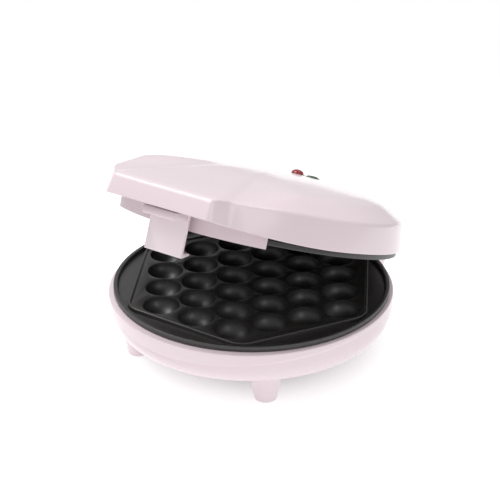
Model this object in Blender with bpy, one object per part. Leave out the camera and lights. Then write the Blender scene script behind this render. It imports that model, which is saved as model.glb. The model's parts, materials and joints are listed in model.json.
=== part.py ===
"""Bubble waffle maker: two round cooking plates with thirty cups each, in a hinged plastic case.

Every length is in metres. The case is modelled shut, with its middle at the lower plate's rim, the
front towards -Y and the hinge at the back. The lid is then turned open about the hinge, and the whole
is set down with its feet on the ground plane.
"""
import math

import bmesh
import bpy
from mathutils import Vector, geometry

# Fit between pieces
GAP = 0.0003
OVERRUN = 0.004

# Cooking plates
RIM_BAND = 0.0160
PLATE_GAP = 0.0008
FLANGE_HEIGHT = 0.0037
SLAB_INSET = 0.003
SLAB_DEPTH = 0.0075
RIM_ROUND = 0.0007
RIM_WIDTH = 0.003
RIM_SLOPE = 0.001
FLOOR_DEPTH = 0.003
FIELD_DEPTH = 0.0015
RIDGE_CORNER = 0.0135
RIDGE_HALF_TOP = 0.0007
RIDGE_HALF_FOOT = 0.0012
RIDGE_DROP = 0.0003

# Cups of the plates, in rows across the plate
CUP_ROWS = (3, 4, 5, 6, 5, 4, 3)
CUP_WEB = 0.00447
ROW_NEST = 0.00343
CUP_MARGIN = 0.00284
CUP_RADIUS = 0.01235
CUP_DEPTH = 0.011
CUP_WALL = 0.0016
BULGE_INSET = 0.00015
BULGE_TAPER = 0.0052

# Heater behind each plate
ELEMENT_INSET = 0.0330
ELEMENT_TUBE = 0.00325
ELEMENT_OPENING = math.radians(50)
ELEMENT_PIN = 0.0012
ELEMENT_PIN_LENGTH = 0.009
CLAMP_SHEET = 0.0010
RETAINER_INSIDE = 0.0050
RETAINER_OUTSIDE = 0.0060
RETAINER_EAR = 0.0050
RETAINER_STEPS = 6
BLADE_WIDTH = 0.0045
STUD_INSET = 0.0195
STUD_RADIUS = 0.0040
STUD_ANGLES = (math.radians(60), math.radians(120), math.radians(240), math.radians(300))
SHIELD_INSET = 0.0130
SHIELD_SHEET = 0.0006
SHIELD_BACK_INSET = 0.0310
THERMOSTAT_RADIUS = 0.0080
THERMOSTAT_HEIGHT = 0.0062
FUSE_RADIUS = 0.0026
FUSE_LENGTH = 0.014
FUSE_PLACE = (0.034, 0.0)
WIRE_RADIUS = 0.0011

# Screws
SHANK_RADIUS = 0.0014
HEAD_RADIUS = 0.0032
HEAD_HEIGHT = 0.0018
SCREW_BITE = 0.0095

# Lower housing
BASE_MARGIN = 0.0025
BASE_WALL = 0.0022
BASE_CLEARANCE = 0.0061
LIP_TOP = 0.0008
BOWL_ROUND = 0.0160
BOWL_FULLNESS = 2.5
BOWL_SHARES = (0.30, 0.58, 0.80, 0.94, 1.0)
INNER_BOWL_SHARES = (0.50, 0.86, 1.0)
BAND_PROUD = 0.0026
BAND_SIDE_DEPTH = 0.0030
BAND_FRONT_DEPTH = 0.0096
BAND_SPREAD = math.radians(84)
BAND_UNDERCUT = 0.0032
BAND_SLOPE = 0.0008
SCREW_POST_RADIUS = 0.0062
COUNTERBORE_RADIUS = 0.0044
COUNTERBORE_DEPTH = 0.0030

# Feet of the lower housing
FOOT_SIDE_INSET = 0.0420
FOOT_FRONT_INSET = 0.0344
FOOT_TOP_RADIUS = 0.0108
FOOT_END_RADIUS = 0.0072
FOOT_HEIGHT = 0.0470
FOOT_ROUND = 0.0018
PAD_RADIUS = 0.0050
PAD_SOCKET = 0.0016
PAD_PROUD = 0.0006

# Hinge at the back
HINGE_OFFSET = 0.0035
HINGE_DROP = 0.0050
HINGE_EYE = 0.0055
HINGE_PIN = 0.0020
PIN_HEAD_RADIUS = 0.0036
PIN_HEAD_LENGTH = 0.0016
PIN_TAIL = 0.0014
KNUCKLE_INNER = 0.0235
KNUCKLE_WIDTH = 0.0115
TOWER_WIDTH = 0.0087
CLIP_RADIUS = 0.0040
CLIP_SHEET = 0.0008
TAIL_HALF_WIDTH = 0.0480
TAIL_MARGIN = 0.0060
TAIL_BLEND = 0.004
TAIL_CORNER = 0.010
TAIL_SPREAD = math.radians(70)
OPEN_ANGLE = math.radians(21.4)

# Cord outlet in the back of the lower housing
GLAND_DROP = 0.0180
GLAND_RADIUS = 0.0050
GLAND_BORE = 0.0034
GLAND_FLANGE = 0.0075
GLAND_FLANGE_LENGTH = 0.0020
GLAND_LENGTH = 0.0160

# Lid shell
LID_MARGIN = 0.0023
LID_WALL = 0.0022
LID_SIDE_EDGE = 0.0048
LID_FRONT_EDGE = 0.0117
LID_EDGE_LENGTH = 0.0850
LID_DRAFT = 0.0024
CREASE_HEIGHT = 0.0240
CREASE_ROUND = 0.0012
CREASE_RISE = 0.0010
CREASE_RISE_INSET = 0.0400
CREASE_RISE_REACH = 0.0400
SHOULDER_INSET = 0.0160
SHOULDER_WIDTH = 0.0050
SHOULDER_RISE = 0.0072
SHOULDER_TOP_RISE = 0.0021
SHOULDER_FRONT_INSET = 0.0046
SHOULDER_FRONT_WIDTH = 0.0036
SHOULDER_FRONT_RISE = 0.0004
SHOULDER_TOP_FRONT_RISE = 0.0018
CROWN_EDGE_RISE = 0.0023
CROWN_EDGE_FRONT_DROP = 0.0040
CROWN_RISE = 0.0022
CROWN_TOP_RISE = 0.0008
CROWN_EDGE_SHARE = 0.66
CROWN_SHARE = 0.33
NOSE_LENGTH = 0.0277
NOSE_HALF_WIDTH = 0.0420
NOSE_FLARE_SHARE = 0.15
NOSE_CORNER = 0.012
NOSE_BLEND = 0.006
NOSE_SPREAD = math.radians(60)
NOSE_SIDE_SHARE = 1.6
NOSE_START_INSET = 0.0530
NOSE_FULL_INSET = 0.0110
CHIN_REACH = 0.0300
CHIN_SHAPE = 7
LID_POST_INSET = 0.0088
LID_POST_RADIUS = 0.0036
LID_POST_ANGLES = (math.radians(67), math.radians(113), math.radians(247), math.radians(293))
COUNTERSINK_RADIUS = 0.0034
COUNTERSINK_DEPTH = 0.0018

# Nose cover: the floor of the nose and the curved wall in front of the plate
SKIRT_MARGIN = 0.0035
SKIRT_WALL = 0.0022
SKIRT_SPREAD = math.radians(35)
SKIRT_LOW = -0.0012
COVER_PLAY = 0.0009
NOSE_FLOOR_RISE = 0.0010
NOSE_FLOOR_SHEET = 0.0020
NOSE_POST_RADIUS = 0.0034
NOSE_POST_SIDE_INSET = 0.0050
NOSE_POST_INSET = 0.0190
NOSE_POST_RISE = 0.0016

# Latch under the nose
LATCH_PIVOT_INSET = 0.0185
LATCH_PIVOT_RISE = 0.0025
LATCH_WIDTH = 0.0286
LATCH_SHEET = 0.0026
LATCH_BARREL = 0.0032
LATCH_PIN = 0.0015
LATCH_HOOK_BITE = 0.0018
LATCH_HOOK_HEIGHT = 0.0030
LATCH_HOOK_PLAY = 0.0006
LATCH_HOOK_TIP = 0.0012
TAB_WIDTH = 0.0256
TAB_FRONT_INSET = 0.0052
TAB_SWING = 0.0012
TAB_HEIGHT = 0.0052
TAB_DROP = 0.0004
LATCH_EAR_SHEET = 0.0024
LATCH_EAR_HALF = 0.0036
LATCH_WINDOW_MARGIN = 0.0012
SPRING_RADIUS = 0.0034
SPRING_WIRE = 0.0004
SPRING_TURNS = 3
SPRING_PITCH = 0.0014
SPRING_LEG = 0.0070
SPRING_NOTCH = 0.0100

# Signal lamps in the lid's top
LAMP_INSET = 0.0480
LAMP_SIDE = 0.0062
LENS_RADIUS = 0.0046
LENS_FLANGE = 0.0056
LENS_FLANGE_SHEET = 0.0008
LENS_DOME = 0.0030
LENS_LOW_DOME = 0.0012
LENS_SOCKET = 0.0050
LENS_RISE = 0.0005
LAMP_RADIUS = 0.0020
LAMP_COLLAR_RADIUS = 0.0028
LAMP_COLLAR_HEIGHT = 0.0012
LAMP_STEM_RADIUS = 0.0013
LAMP_STEM_LENGTH = 0.0024
LAMP_BRACKET_DROP = 0.0094
LAMP_BRACKET_SHEET = 0.0010
LAMP_BRACKET_WIDTH = 0.0080
LAMP_BRACKET_LENGTH = 0.0380
LAMP_SCREW_SIDE = 0.0152
LAMP_SCREW_LENGTH = 0.0050
LAMP_HEAD_HEIGHT = 0.0012
LAMP_BOSS_RADIUS = 0.0032

# Terminal blocks at the back of both housings, as depths behind the plate's face
TERMINAL_HALF_WIDTH = 0.0130
TERMINAL_LENGTH = 0.0120
TERMINAL_INSET = 0.0130
TERMINAL_STAND = 0.0060
TERMINAL_HEIGHT = 0.0072
TERMINAL_SCREW_SPACING = 0.0080
TERMINAL_WELL_RADIUS = 0.0018
PEG_RADIUS = 0.0010
LID_SEAT_FRONT_DROP = 0.0009
LID_SEAT_BACK_DROP = 0.0029

# How finely round shapes are cut
PLATE_SIDES = 48
CUP_SIDES = 10
CUP_BANDS = 3
UPPER_CUP_SIDES = 8
UPPER_CUP_BANDS = 3
LENS_BANDS = 3
BULGE_SIDES = 6
CORNER_STEPS = 5
RING_SIDES = 26
SKIRT_STEPS = 18
ROUND_SIDES = 16
FOOT_SIDES = 12
TUBE_SIDES = 8
SMALL_SIDES = 8
WIRE_SIDES = 5
WIRE_STEPS = 7
FINE_ANGLES = 3
SMOOTH_ANGLE = math.radians(32)
MERGE = 1e-7

# Colours: red, green, blue, roughness, metallic
FINISHES = {
    "pink_plastic": (0.80, 0.60, 0.62, 0.25, 0.0),
    "non_stick": (0.020, 0.020, 0.022, 0.45, 0.3),
    "steel": (0.62, 0.62, 0.63, 0.30, 1.0),
    "aluminium": (0.75, 0.75, 0.76, 0.40, 1.0),
    "grey_rubber": (0.30, 0.27, 0.28, 0.80, 0.0),
    "black_rubber": (0.02, 0.02, 0.02, 0.70, 0.0),
    "red_lens": (0.55, 0.01, 0.02, 0.10, 0.0),
    "green_lens": (0.02, 0.30, 0.05, 0.10, 0.0),
    "lamp_glass": (0.85, 0.80, 0.70, 0.10, 0.0),
    "white_ceramic": (0.85, 0.84, 0.80, 0.50, 0.0),
    "sleeve_fabric": (0.75, 0.74, 0.68, 0.90, 0.0),
}

# Places worked out from the sizes above
CUP_SPACING = 2 * CUP_RADIUS + CUP_WEB
ROW_SPACING = 2 * CUP_RADIUS - ROW_NEST
BULGE_RADIUS = CUP_RADIUS - BULGE_INSET
BULGE_END_RADIUS = BULGE_RADIUS - BULGE_TAPER
RIDGE_REACH = (len(CUP_ROWS) - 1) / 2 * ROW_SPACING + CUP_RADIUS + CUP_MARGIN
PLATE_RADIUS = RIDGE_REACH + RIM_BAND
SLAB_RADIUS = PLATE_RADIUS - SLAB_INSET
ELEMENT_RADIUS = PLATE_RADIUS - ELEMENT_INSET
RETAINER_INNER = ELEMENT_RADIUS - RETAINER_INSIDE
RETAINER_OUTER = ELEMENT_RADIUS + RETAINER_OUTSIDE
STUD_REACH = PLATE_RADIUS - STUD_INSET
SHIELD_RADIUS = PLATE_RADIUS - SHIELD_INSET
SHIELD_BACK = PLATE_RADIUS - SHIELD_BACK_INSET
BASE_RADIUS = PLATE_RADIUS + BASE_MARGIN
SHOULDER_HEIGHT = CREASE_HEIGHT + SHOULDER_RISE
SHOULDER_TOP = SHOULDER_HEIGHT + SHOULDER_TOP_RISE
CROWN_EDGE_HEIGHT = SHOULDER_TOP + CROWN_EDGE_RISE
CROWN_HEIGHT = CROWN_EDGE_HEIGHT + CROWN_RISE
CROWN_TOP = CROWN_HEIGHT + CROWN_TOP_RISE
LID_SEAT_FRONT_ROOT = SHOULDER_TOP - LID_SEAT_FRONT_DROP
LID_SEAT_BACK_ROOT = SHOULDER_HEIGHT - LID_SEAT_BACK_DROP
NOSE_POST_TOP = CREASE_HEIGHT + NOSE_POST_RISE
LAMP_BRACKET_HEIGHT = CROWN_EDGE_HEIGHT - LAMP_BRACKET_DROP
FOOT_SIDE = PLATE_RADIUS - FOOT_SIDE_INSET
FOOT_FRONT = PLATE_RADIUS - FOOT_FRONT_INSET
HINGE_BACK = BASE_RADIUS + HINGE_OFFSET
TAIL_BACK = HINGE_BACK + TAIL_MARGIN
LID_RADIUS = PLATE_RADIUS + LID_MARGIN
LID_POST_REACH = PLATE_RADIUS - LID_POST_INSET
SKIRT_RADIUS = PLATE_RADIUS + SKIRT_MARGIN
NOSE_FRONT = LID_RADIUS + NOSE_LENGTH
NOSE_SIDE_MOST = NOSE_SIDE_SHARE * NOSE_FRONT
NOSE_START = NOSE_FRONT - NOSE_START_INSET
NOSE_FULL = NOSE_FRONT - NOSE_FULL_INSET
LID_EDGE_START = NOSE_FRONT - LID_EDGE_LENGTH
CREASE_RISE_FRONT = NOSE_FRONT - CREASE_RISE_INSET
NOSE_POST_SIDE = NOSE_HALF_WIDTH - NOSE_POST_SIDE_INSET
NOSE_POST_FRONT = NOSE_FRONT - NOSE_POST_INSET
LATCH_PIVOT_FRONT = NOSE_FRONT - LATCH_PIVOT_INSET
TAB_FRONT = NOSE_FRONT - TAB_FRONT_INSET
LAMP_BACK = PLATE_RADIUS - LAMP_INSET
TERMINAL_BACK = PLATE_RADIUS - TERMINAL_INSET
TERMINAL_FRONT = TERMINAL_BACK - TERMINAL_LENGTH
CUP_END = FIELD_DEPTH + CUP_DEPTH + CUP_WALL
ELEMENT_DEPTH = CUP_END + GAP + ELEMENT_TUBE
STUD_END = ELEMENT_DEPTH + ELEMENT_TUBE
CLAMP_DEPTH = STUD_END + GAP
SHIELD_DEPTH = CLAMP_DEPTH + CLAMP_SHEET + GAP
STACK_END = SHIELD_DEPTH + SHIELD_SHEET + GAP
BASE_DEPTH = STACK_END + BASE_CLEARANCE
TERMINAL_DEPTH = BASE_DEPTH - TERMINAL_STAND
LID_PIECES = ("upper_", "nose_", "latch", "power_", "ready_", "lamp_")
HINGE = Vector((0, HINGE_BACK, -HINGE_DROP))
NOSE_FLOOR_LOW = LID_FRONT_EDGE + NOSE_FLOOR_RISE
NOSE_FLOOR_TOP = NOSE_FLOOR_LOW + NOSE_FLOOR_SHEET
LATCH_PIVOT_HEIGHT = NOSE_FLOOR_TOP + LATCH_PIVOT_RISE
LATCH_PIVOT = Vector((0, -LATCH_PIVOT_FRONT, LATCH_PIVOT_HEIGHT))
LENS_SEAT = CROWN_EDGE_HEIGHT


def clear_scene():
    """Remove whatever the file opened with."""
    for item in list(bpy.data.objects):
        bpy.data.objects.remove(item, do_unlink=True)


def finish_material(name):
    """A plain material from the table of finishes, made once."""
    if name in bpy.data.materials:
        return bpy.data.materials[name]
    red, green, blue, roughness, metallic = FINISHES[name]
    material = bpy.data.materials.new(name)
    material.use_nodes = True
    shader = material.node_tree.nodes["Principled BSDF"]
    shader.inputs["Base Color"].default_value = (red, green, blue, 1)
    shader.inputs["Roughness"].default_value = roughness
    shader.inputs["Metallic"].default_value = metallic
    material.diffuse_color = (red, green, blue, 1)
    return material


def new_object(name, bm, finish):
    """Turn a bmesh of closed bodies into a shaded object."""
    bmesh.ops.recalc_face_normals(bm, faces=bm.faces)
    mesh = bpy.data.meshes.new(name)
    bm.to_mesh(mesh)
    bm.free()
    item = bpy.data.objects.new(name, mesh)
    bpy.context.collection.objects.link(item)
    mesh.materials.append(finish_material(finish))
    mesh.shade_smooth()
    mesh.set_sharp_from_angle(angle=SMOOTH_ANGLE)
    return item


def combine(target, tool, operation):
    """Join a tool to a piece, or cut it away, and remove the tool."""
    modifier = target.modifiers.new("shape", "BOOLEAN")
    modifier.operation = operation
    modifier.solver = "EXACT"
    modifier.object = tool
    bpy.context.view_layer.update()
    depsgraph = bpy.context.evaluated_depsgraph_get()
    mesh = bpy.data.meshes.new_from_object(target.evaluated_get(depsgraph))
    target.modifiers.clear()
    target.data = mesh
    bpy.data.objects.remove(tool, do_unlink=True)
    mesh.shade_smooth()
    mesh.set_sharp_from_angle(angle=SMOOTH_ANGLE)


def skin(bm, first, second):
    """Faces between two rings of as many points, or between a ring and a single point."""
    count = max(len(first), len(second))
    for index in range(count):
        following = (index + 1) % count
        corners = [first[index % len(first)], first[following % len(first)]]
        corners += [second[following % len(second)], second[index % len(second)]]
        unique = list(dict.fromkeys(corners))
        bm.faces.new(unique)


def add_rings(bm, rings, closed=False):
    """A body over rings of points: open ends are capped, and closed joins the last to the first."""
    loops = [[bm.verts.new(point) for point in ring] for ring in rings]
    for first, second in zip(loops, loops[1:]):
        skin(bm, first, second)
    if closed:
        skin(bm, loops[-1], loops[0])
    else:
        for end in (loops[0], loops[-1]):
            if len(end) > 2:
                bm.faces.new(end)
    return loops


def circle(radius, height, sides, centre=(0, 0)):
    """Points round a level circle, or its middle alone where the radius is nothing."""
    if radius == 0:
        return [(centre[0], centre[1], height)]
    turns = [math.tau * step / sides for step in range(sides)]
    return [(centre[0] + radius * math.cos(t), centre[1] + radius * math.sin(t), height) for t in turns]


def add_turned(bm, profile, sides, centre=(0, 0), closed=False):
    """A body turned about a line along Z, from a list of radius and height."""
    rings = [circle(radius, height, sides, centre) for radius, height in profile]
    return add_rings(bm, rings, closed)


def add_rod(bm, start, end, radius, sides, bore=0):
    """A round rod between two points, with a bore where one is given."""
    start = Vector(start)
    end = Vector(end)
    along = (end - start).normalized()
    turn = along.to_track_quat("Z", "Y")
    rings = []
    steps = [(start, radius), (end, radius)]
    if bore:
        steps += [(end, bore), (start, bore)]
    for place, reach in steps:
        rings.append([place + turn @ Vector(point) for point in circle(reach, 0, sides)])
    return add_rings(bm, rings, closed=bool(bore))


def add_block(bm, low, high):
    """A box between two corners."""
    rings = []
    for height in (low[2], high[2]):
        corners = [(low[0], low[1]), (high[0], low[1]), (high[0], high[1]), (low[0], high[1])]
        rings.append([(x, y, height) for x, y in corners])
    return add_rings(bm, rings)


def add_sweep(bm, points, radii, sides):
    """A round tube along a line of points, with a radius for each point."""
    points = [Vector(point) for point in points]
    rings = []
    side = None
    for index, point in enumerate(points):
        before = points[max(index - 1, 0)]
        after = points[min(index + 1, len(points) - 1)]
        along = (after - before).normalized()
        if side is None:
            side = along.orthogonal().normalized()
        side = (side - along * side.dot(along)).normalized()
        up = along.cross(side)
        turns = [math.tau * step / sides for step in range(sides)]
        rings.append([point + (side * math.cos(t) + up * math.sin(t)) * radii[index] for t in turns])
    return add_rings(bm, rings)


def fill_sheet(bm, border, holes):
    """Flat faces inside a border loop of vertices, round hole loops of vertices."""
    verts = []
    owners = []
    edges = []
    for number, loop in enumerate([border] + holes):
        start = len(verts)
        count = len(loop)
        verts += loop
        owners += [number] * count
        edges += [(start + step, start + (step + 1) % count) for step in range(count)]
    flat = [Vector((vert.co.x, vert.co.y)) for vert in verts]
    result = geometry.delaunay_2d_cdt(flat, edges, [], 1, MERGE)
    for face in result[2]:
        corners = [result[3][index][0] for index in face]
        hole = owners[corners[0]]
        if hole and all(owners[corner] == hole for corner in corners):
            continue
        bm.faces.new([verts[corner] for corner in corners])


def add_sheet(bm, outline, holes, low, high):
    """A flat sheet between two heights, with through holes given as lists of points."""
    levels = []
    for height in (low, high):
        border = [bm.verts.new((x, y, height)) for x, y in outline]
        loops = [[bm.verts.new((x, y, height)) for x, y in hole] for hole in holes]
        fill_sheet(bm, border, loops)
        levels.append([border] + loops)
    for lower, upper in zip(*levels):
        skin(bm, lower, upper)


def hole_points(radius, sides, centre):
    """The points of a round hole in a sheet."""
    return [(x, y) for x, y, height in circle(radius, 0, sides, centre)]


def lower_level(depth):
    """Height of a depth behind the lower plate's face."""
    return -depth


def upper_level(depth):
    """Height of a depth behind the upper plate's face, with the lid shut."""
    return PLATE_GAP + depth


def cup_centres():
    """Middles of the cups, row by row from the front."""
    centres = []
    middle = (len(CUP_ROWS) - 1) / 2
    for row, count in enumerate(CUP_ROWS):
        for place in range(count):
            across = (place - (count - 1) / 2) * CUP_SPACING
            centres.append((across, (row - middle) * ROW_SPACING))
    return centres


def ring_places(reach, angles):
    """Places at one distance from the middle, at angles from the front."""
    return [(reach * math.sin(angle), -reach * math.cos(angle)) for angle in angles]


def ridge_points(offset, height):
    """The six-sided ridge round the cups, with rounded corners, moved outwards by an offset."""
    corner_reach = (RIDGE_REACH - RIDGE_CORNER) / math.cos(math.pi / 6)
    points = []
    for corner in range(6):
        facing = corner * math.pi / 3
        middle = Vector((math.cos(facing), math.sin(facing))) * corner_reach
        for step in range(CORNER_STEPS):
            angle = facing + (step / (CORNER_STEPS - 1) - 1 / 2) * math.pi / 3
            reach = RIDGE_CORNER + offset
            points.append((middle.x + reach * math.cos(angle), middle.y + reach * math.sin(angle), height))
    return points


def build_plate(name, level, screw_holes, cup_sides, cup_bands):
    """A cast plate: rim, ridge and cups on its face, bulges and studs on its back."""
    bm = bmesh.new()

    def loop(points):
        return [bm.verts.new(point) for point in points]

    def ring(radius, depth, sides=PLATE_SIDES, centre=(0, 0)):
        return loop(circle(radius, level(depth), sides, centre))

    floor_reach = PLATE_RADIUS - RIM_WIDTH - RIM_SLOPE
    rim = [
        ring(SLAB_RADIUS, SLAB_DEPTH),
        ring(SLAB_RADIUS, FLANGE_HEIGHT),
        ring(PLATE_RADIUS, FLANGE_HEIGHT),
        ring(PLATE_RADIUS, RIM_ROUND),
        ring(PLATE_RADIUS - RIM_ROUND, 0),
        ring(PLATE_RADIUS - RIM_WIDTH, 0),
        ring(floor_reach, FLOOR_DEPTH),
    ]
    for first, second in zip(rim, rim[1:]):
        skin(bm, first, second)

    ridge = [
        loop(ridge_points(RIDGE_HALF_FOOT, level(FLOOR_DEPTH))),
        loop(ridge_points(RIDGE_HALF_TOP, level(RIDGE_DROP))),
        loop(ridge_points(-RIDGE_HALF_TOP, level(RIDGE_DROP))),
        loop(ridge_points(-RIDGE_HALF_FOOT, level(FIELD_DEPTH))),
    ]
    for first, second in zip(ridge, ridge[1:]):
        skin(bm, first, second)

    floor_holes = [ridge[0]]
    back_holes = []
    if screw_holes:
        for centre in ring_places(LID_POST_REACH, LID_POST_ANGLES):
            hole_radius = SHANK_RADIUS + GAP
            mouth = ring(COUNTERSINK_RADIUS, FLOOR_DEPTH, SMALL_SIDES, centre)
            neck = ring(hole_radius, FLOOR_DEPTH + COUNTERSINK_DEPTH, SMALL_SIDES, centre)
            back = ring(hole_radius, SLAB_DEPTH, SMALL_SIDES, centre)
            skin(bm, mouth, neck)
            skin(bm, neck, back)
            floor_holes.append(mouth)
            back_holes.append(back)
    fill_sheet(bm, rim[-1], floor_holes)

    mouths = []
    for centre in cup_centres():
        rings = []
        for band in range(cup_bands + 1):
            lean = band / cup_bands * math.pi / 2
            radius = CUP_RADIUS * math.cos(lean) if band < cup_bands else 0
            rings.append(ring(radius, FIELD_DEPTH + CUP_DEPTH * math.sin(lean), cup_sides, centre))
        for first, second in zip(rings, rings[1:]):
            skin(bm, first, second)
        mouths.append(rings[0])
        foot = ring(BULGE_RADIUS, SLAB_DEPTH, BULGE_SIDES, centre)
        end = ring(BULGE_END_RADIUS, CUP_END, BULGE_SIDES, centre)
        skin(bm, foot, end)
        bm.faces.new(end)
        back_holes.append(foot)
    fill_sheet(bm, ridge[-1], mouths)

    for centre in ring_places(STUD_REACH, STUD_ANGLES):
        pilot = SHANK_RADIUS + GAP
        foot = ring(STUD_RADIUS, SLAB_DEPTH, SMALL_SIDES, centre)
        end = ring(STUD_RADIUS, STUD_END, SMALL_SIDES, centre)
        mouth = ring(pilot, STUD_END, SMALL_SIDES, centre)
        bottom = ring(pilot, STUD_END - SCREW_BITE - GAP, SMALL_SIDES, centre)
        skin(bm, foot, end)
        skin(bm, end, mouth)
        skin(bm, mouth, bottom)
        bm.faces.new(bottom)
        back_holes.append(foot)
    fill_sheet(bm, rim[0], back_holes)
    return new_object(name, bm, "non_stick")


def element_points(level):
    """The line of the heating tube: a ring with its opening at the back."""
    steps = RING_SIDES
    half = ELEMENT_OPENING / 2
    points = []
    for step in range(steps + 1):
        angle = -math.pi + half + (math.tau - ELEMENT_OPENING) * step / steps
        x, y = ring_places(ELEMENT_RADIUS, (angle,))[0]
        points.append(Vector((x, y, level(ELEMENT_DEPTH))))
    return points


def build_element(name, level):
    """A steel-sheathed heating tube with a pin at each end."""
    bm = bmesh.new()
    points = element_points(level)
    start = (points[0] - points[1]).normalized()
    end = (points[-1] - points[-2]).normalized()
    line = [points[0] + start * ELEMENT_PIN_LENGTH, points[0] + start * GAP] + points
    line += [points[-1] + end * GAP, points[-1] + end * ELEMENT_PIN_LENGTH]
    radii = [ELEMENT_PIN] * 2 + [ELEMENT_TUBE] * len(points) + [ELEMENT_PIN] * 2
    add_sweep(bm, line, radii, TUBE_SIDES)
    return new_object(name, bm, "steel")


def build_retainer(name, level):
    """The ring of sheet steel that presses the heating tube to the plate, with an ear at each stud."""
    bm = bmesh.new()
    ear = math.asin(RETAINER_EAR / STUD_REACH)
    outline = []
    previous = STUD_ANGLES[-1] - math.tau
    for facing in STUD_ANGLES:
        gap = (facing - previous - 4 * ear) / RETAINER_STEPS
        between = [previous + 2 * ear + gap * step for step in range(RETAINER_STEPS + 1)]
        outline += ring_places(RETAINER_OUTER, between)
        outline += ring_places(STUD_REACH + RETAINER_EAR, (facing - ear, facing + ear))
        previous = facing
    holes = [hole_points(RETAINER_INNER, RING_SIDES, (0, 0))]
    for place in ring_places(STUD_REACH, STUD_ANGLES):
        holes.append(hole_points(SHANK_RADIUS + GAP, SMALL_SIDES, place))
    heights = sorted((level(CLAMP_DEPTH), level(CLAMP_DEPTH + CLAMP_SHEET)))
    add_sheet(bm, outline, holes, *heights)
    return new_object(name, bm, "steel")


def shield_outline():
    """A round sheet cut off straight at the back."""
    half = math.acos(SHIELD_BACK / SHIELD_RADIUS)
    angles = [half + (math.tau - 2 * half) * step / RING_SIDES for step in range(RING_SIDES + 1)]
    return [(SHIELD_RADIUS * math.sin(angle), SHIELD_RADIUS * math.cos(angle)) for angle in angles]


def build_shield(name, level):
    """The reflector that keeps the plate's heat off the housing."""
    bm = bmesh.new()
    places = ring_places(STUD_REACH, STUD_ANGLES)
    holes = [hole_points(SHANK_RADIUS + GAP, SMALL_SIDES, place) for place in places]
    heights = sorted((level(SHIELD_DEPTH), level(SHIELD_DEPTH + SHIELD_SHEET)))
    add_sheet(bm, shield_outline(), holes, *heights)
    return new_object(name, bm, "aluminium")


def build_thermostat(name, level):
    """A round snap thermostat against the plate's back, with two blade terminals."""
    bm = bmesh.new()
    near = CUP_END + GAP
    far = near + THERMOSTAT_HEIGHT
    waist = near + THERMOSTAT_HEIGHT / 3
    neck = THERMOSTAT_RADIUS - THERMOSTAT_HEIGHT / 3
    profile = [(0, near), (THERMOSTAT_RADIUS, near), (THERMOSTAT_RADIUS, waist)]
    profile += [(neck, waist), (neck, far), (0, far)]
    add_turned(bm, [(radius, level(depth)) for radius, depth in profile], ROUND_SIDES)
    thermostat = new_object(name, bm, "white_ceramic")
    blades = bmesh.new()
    for side in (-1, 1):
        inner = side * neck / 2
        outer = side * (neck + THERMOSTAT_RADIUS)
        depths = (waist + CLAMP_SHEET, waist + 2 * CLAMP_SHEET)
        heights = sorted(level(depth) for depth in depths)
        low_x, high_x = sorted((inner, outer))
        add_block(blades, (low_x, -BLADE_WIDTH / 2, heights[0]), (high_x, BLADE_WIDTH / 2, heights[1]))
    combine(thermostat, new_object("blades", blades, "steel"), "UNION")


def build_fuse(name, level):
    """A thermal fuse in its glass sleeve, lying across the plate's back."""
    bm = bmesh.new()
    x, y = FUSE_PLACE
    height = level(CUP_END + GAP + FUSE_RADIUS)
    half = Vector((0, FUSE_LENGTH / 2, 0))
    middle = Vector((x, y, height))
    add_rod(bm, middle - half, middle + half, FUSE_RADIUS, SMALL_SIDES)
    return new_object(name, bm, "sleeve_fabric")


def wire_path(start, end, bend):
    """A smooth line of points from start to end, drawn aside towards a bend point."""
    start = Vector(start)
    end = Vector(end)
    bend = Vector(bend)
    shares = [step / WIRE_STEPS for step in range(WIRE_STEPS + 1)]
    return [start * (1 - t) ** 2 + bend * 2 * t * (1 - t) + end * t * t for t in shares]


def build_wires(side_name, level, home_depth):
    """Insulated leads: block to thermostat, thermostat to fuse, fuse to tube, and block to tube."""
    run = level(ELEMENT_DEPTH)
    blade = 2 * THERMOSTAT_RADIUS - THERMOSTAT_HEIGHT / 3 + GAP + WIRE_RADIUS
    points = element_points(level)
    pin_reach = ELEMENT_PIN_LENGTH + GAP + WIRE_RADIUS
    left_pin = points[0] + (points[0] - points[1]).normalized() * pin_reach
    right_pin = points[-1] + (points[-1] - points[-2]).normalized() * pin_reach
    fuse_x, fuse_y = FUSE_PLACE
    fuse_end = FUSE_LENGTH / 2 + GAP + WIRE_RADIUS
    home_y = TERMINAL_FRONT - WIRE_RADIUS
    home_z = level(home_depth)
    thermostat_z = level(CUP_END + GAP + THERMOSTAT_HEIGHT / 3 + 3 * CLAMP_SHEET / 2)
    fuse_z = level(CUP_END + GAP + FUSE_RADIUS)
    feed_x = -TERMINAL_SCREW_SPACING / 2
    neutral_x = -TERMINAL_SCREW_SPACING
    routes = {
        "feed": ((feed_x, home_y, home_z), (-blade, 0, thermostat_z), (-blade, home_y / 2, run)),
        "link": ((blade, 0, thermostat_z), (fuse_x, fuse_y - fuse_end, fuse_z), (blade, -fuse_end, run)),
        "return": ((fuse_x, fuse_y + fuse_end, fuse_z), right_pin, (fuse_x / 4, right_pin.y * 3 / 4, run)),
        "neutral": ((neutral_x, home_y, home_z), left_pin, (neutral_x, left_pin.y, run)),
    }
    for use, (start, end, bend) in routes.items():
        bm = bmesh.new()
        line = wire_path(start, end, bend)
        add_sweep(bm, line, [WIRE_RADIUS] * len(line), WIRE_SIDES)
        new_object(side_name + "_" + use + "_wire", bm, "sleeve_fabric")


def add_screw(bm, centre, head, seat, tip, head_radius):
    """A pan-head screw along Z from its head's far side, over its seat, to its tip."""
    profile = [(0, head), (head_radius, head), (head_radius, seat)]
    profile += [(SHANK_RADIUS, seat), (SHANK_RADIUS, tip), (0, tip)]
    add_turned(bm, profile, SMALL_SIDES, centre)


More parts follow.
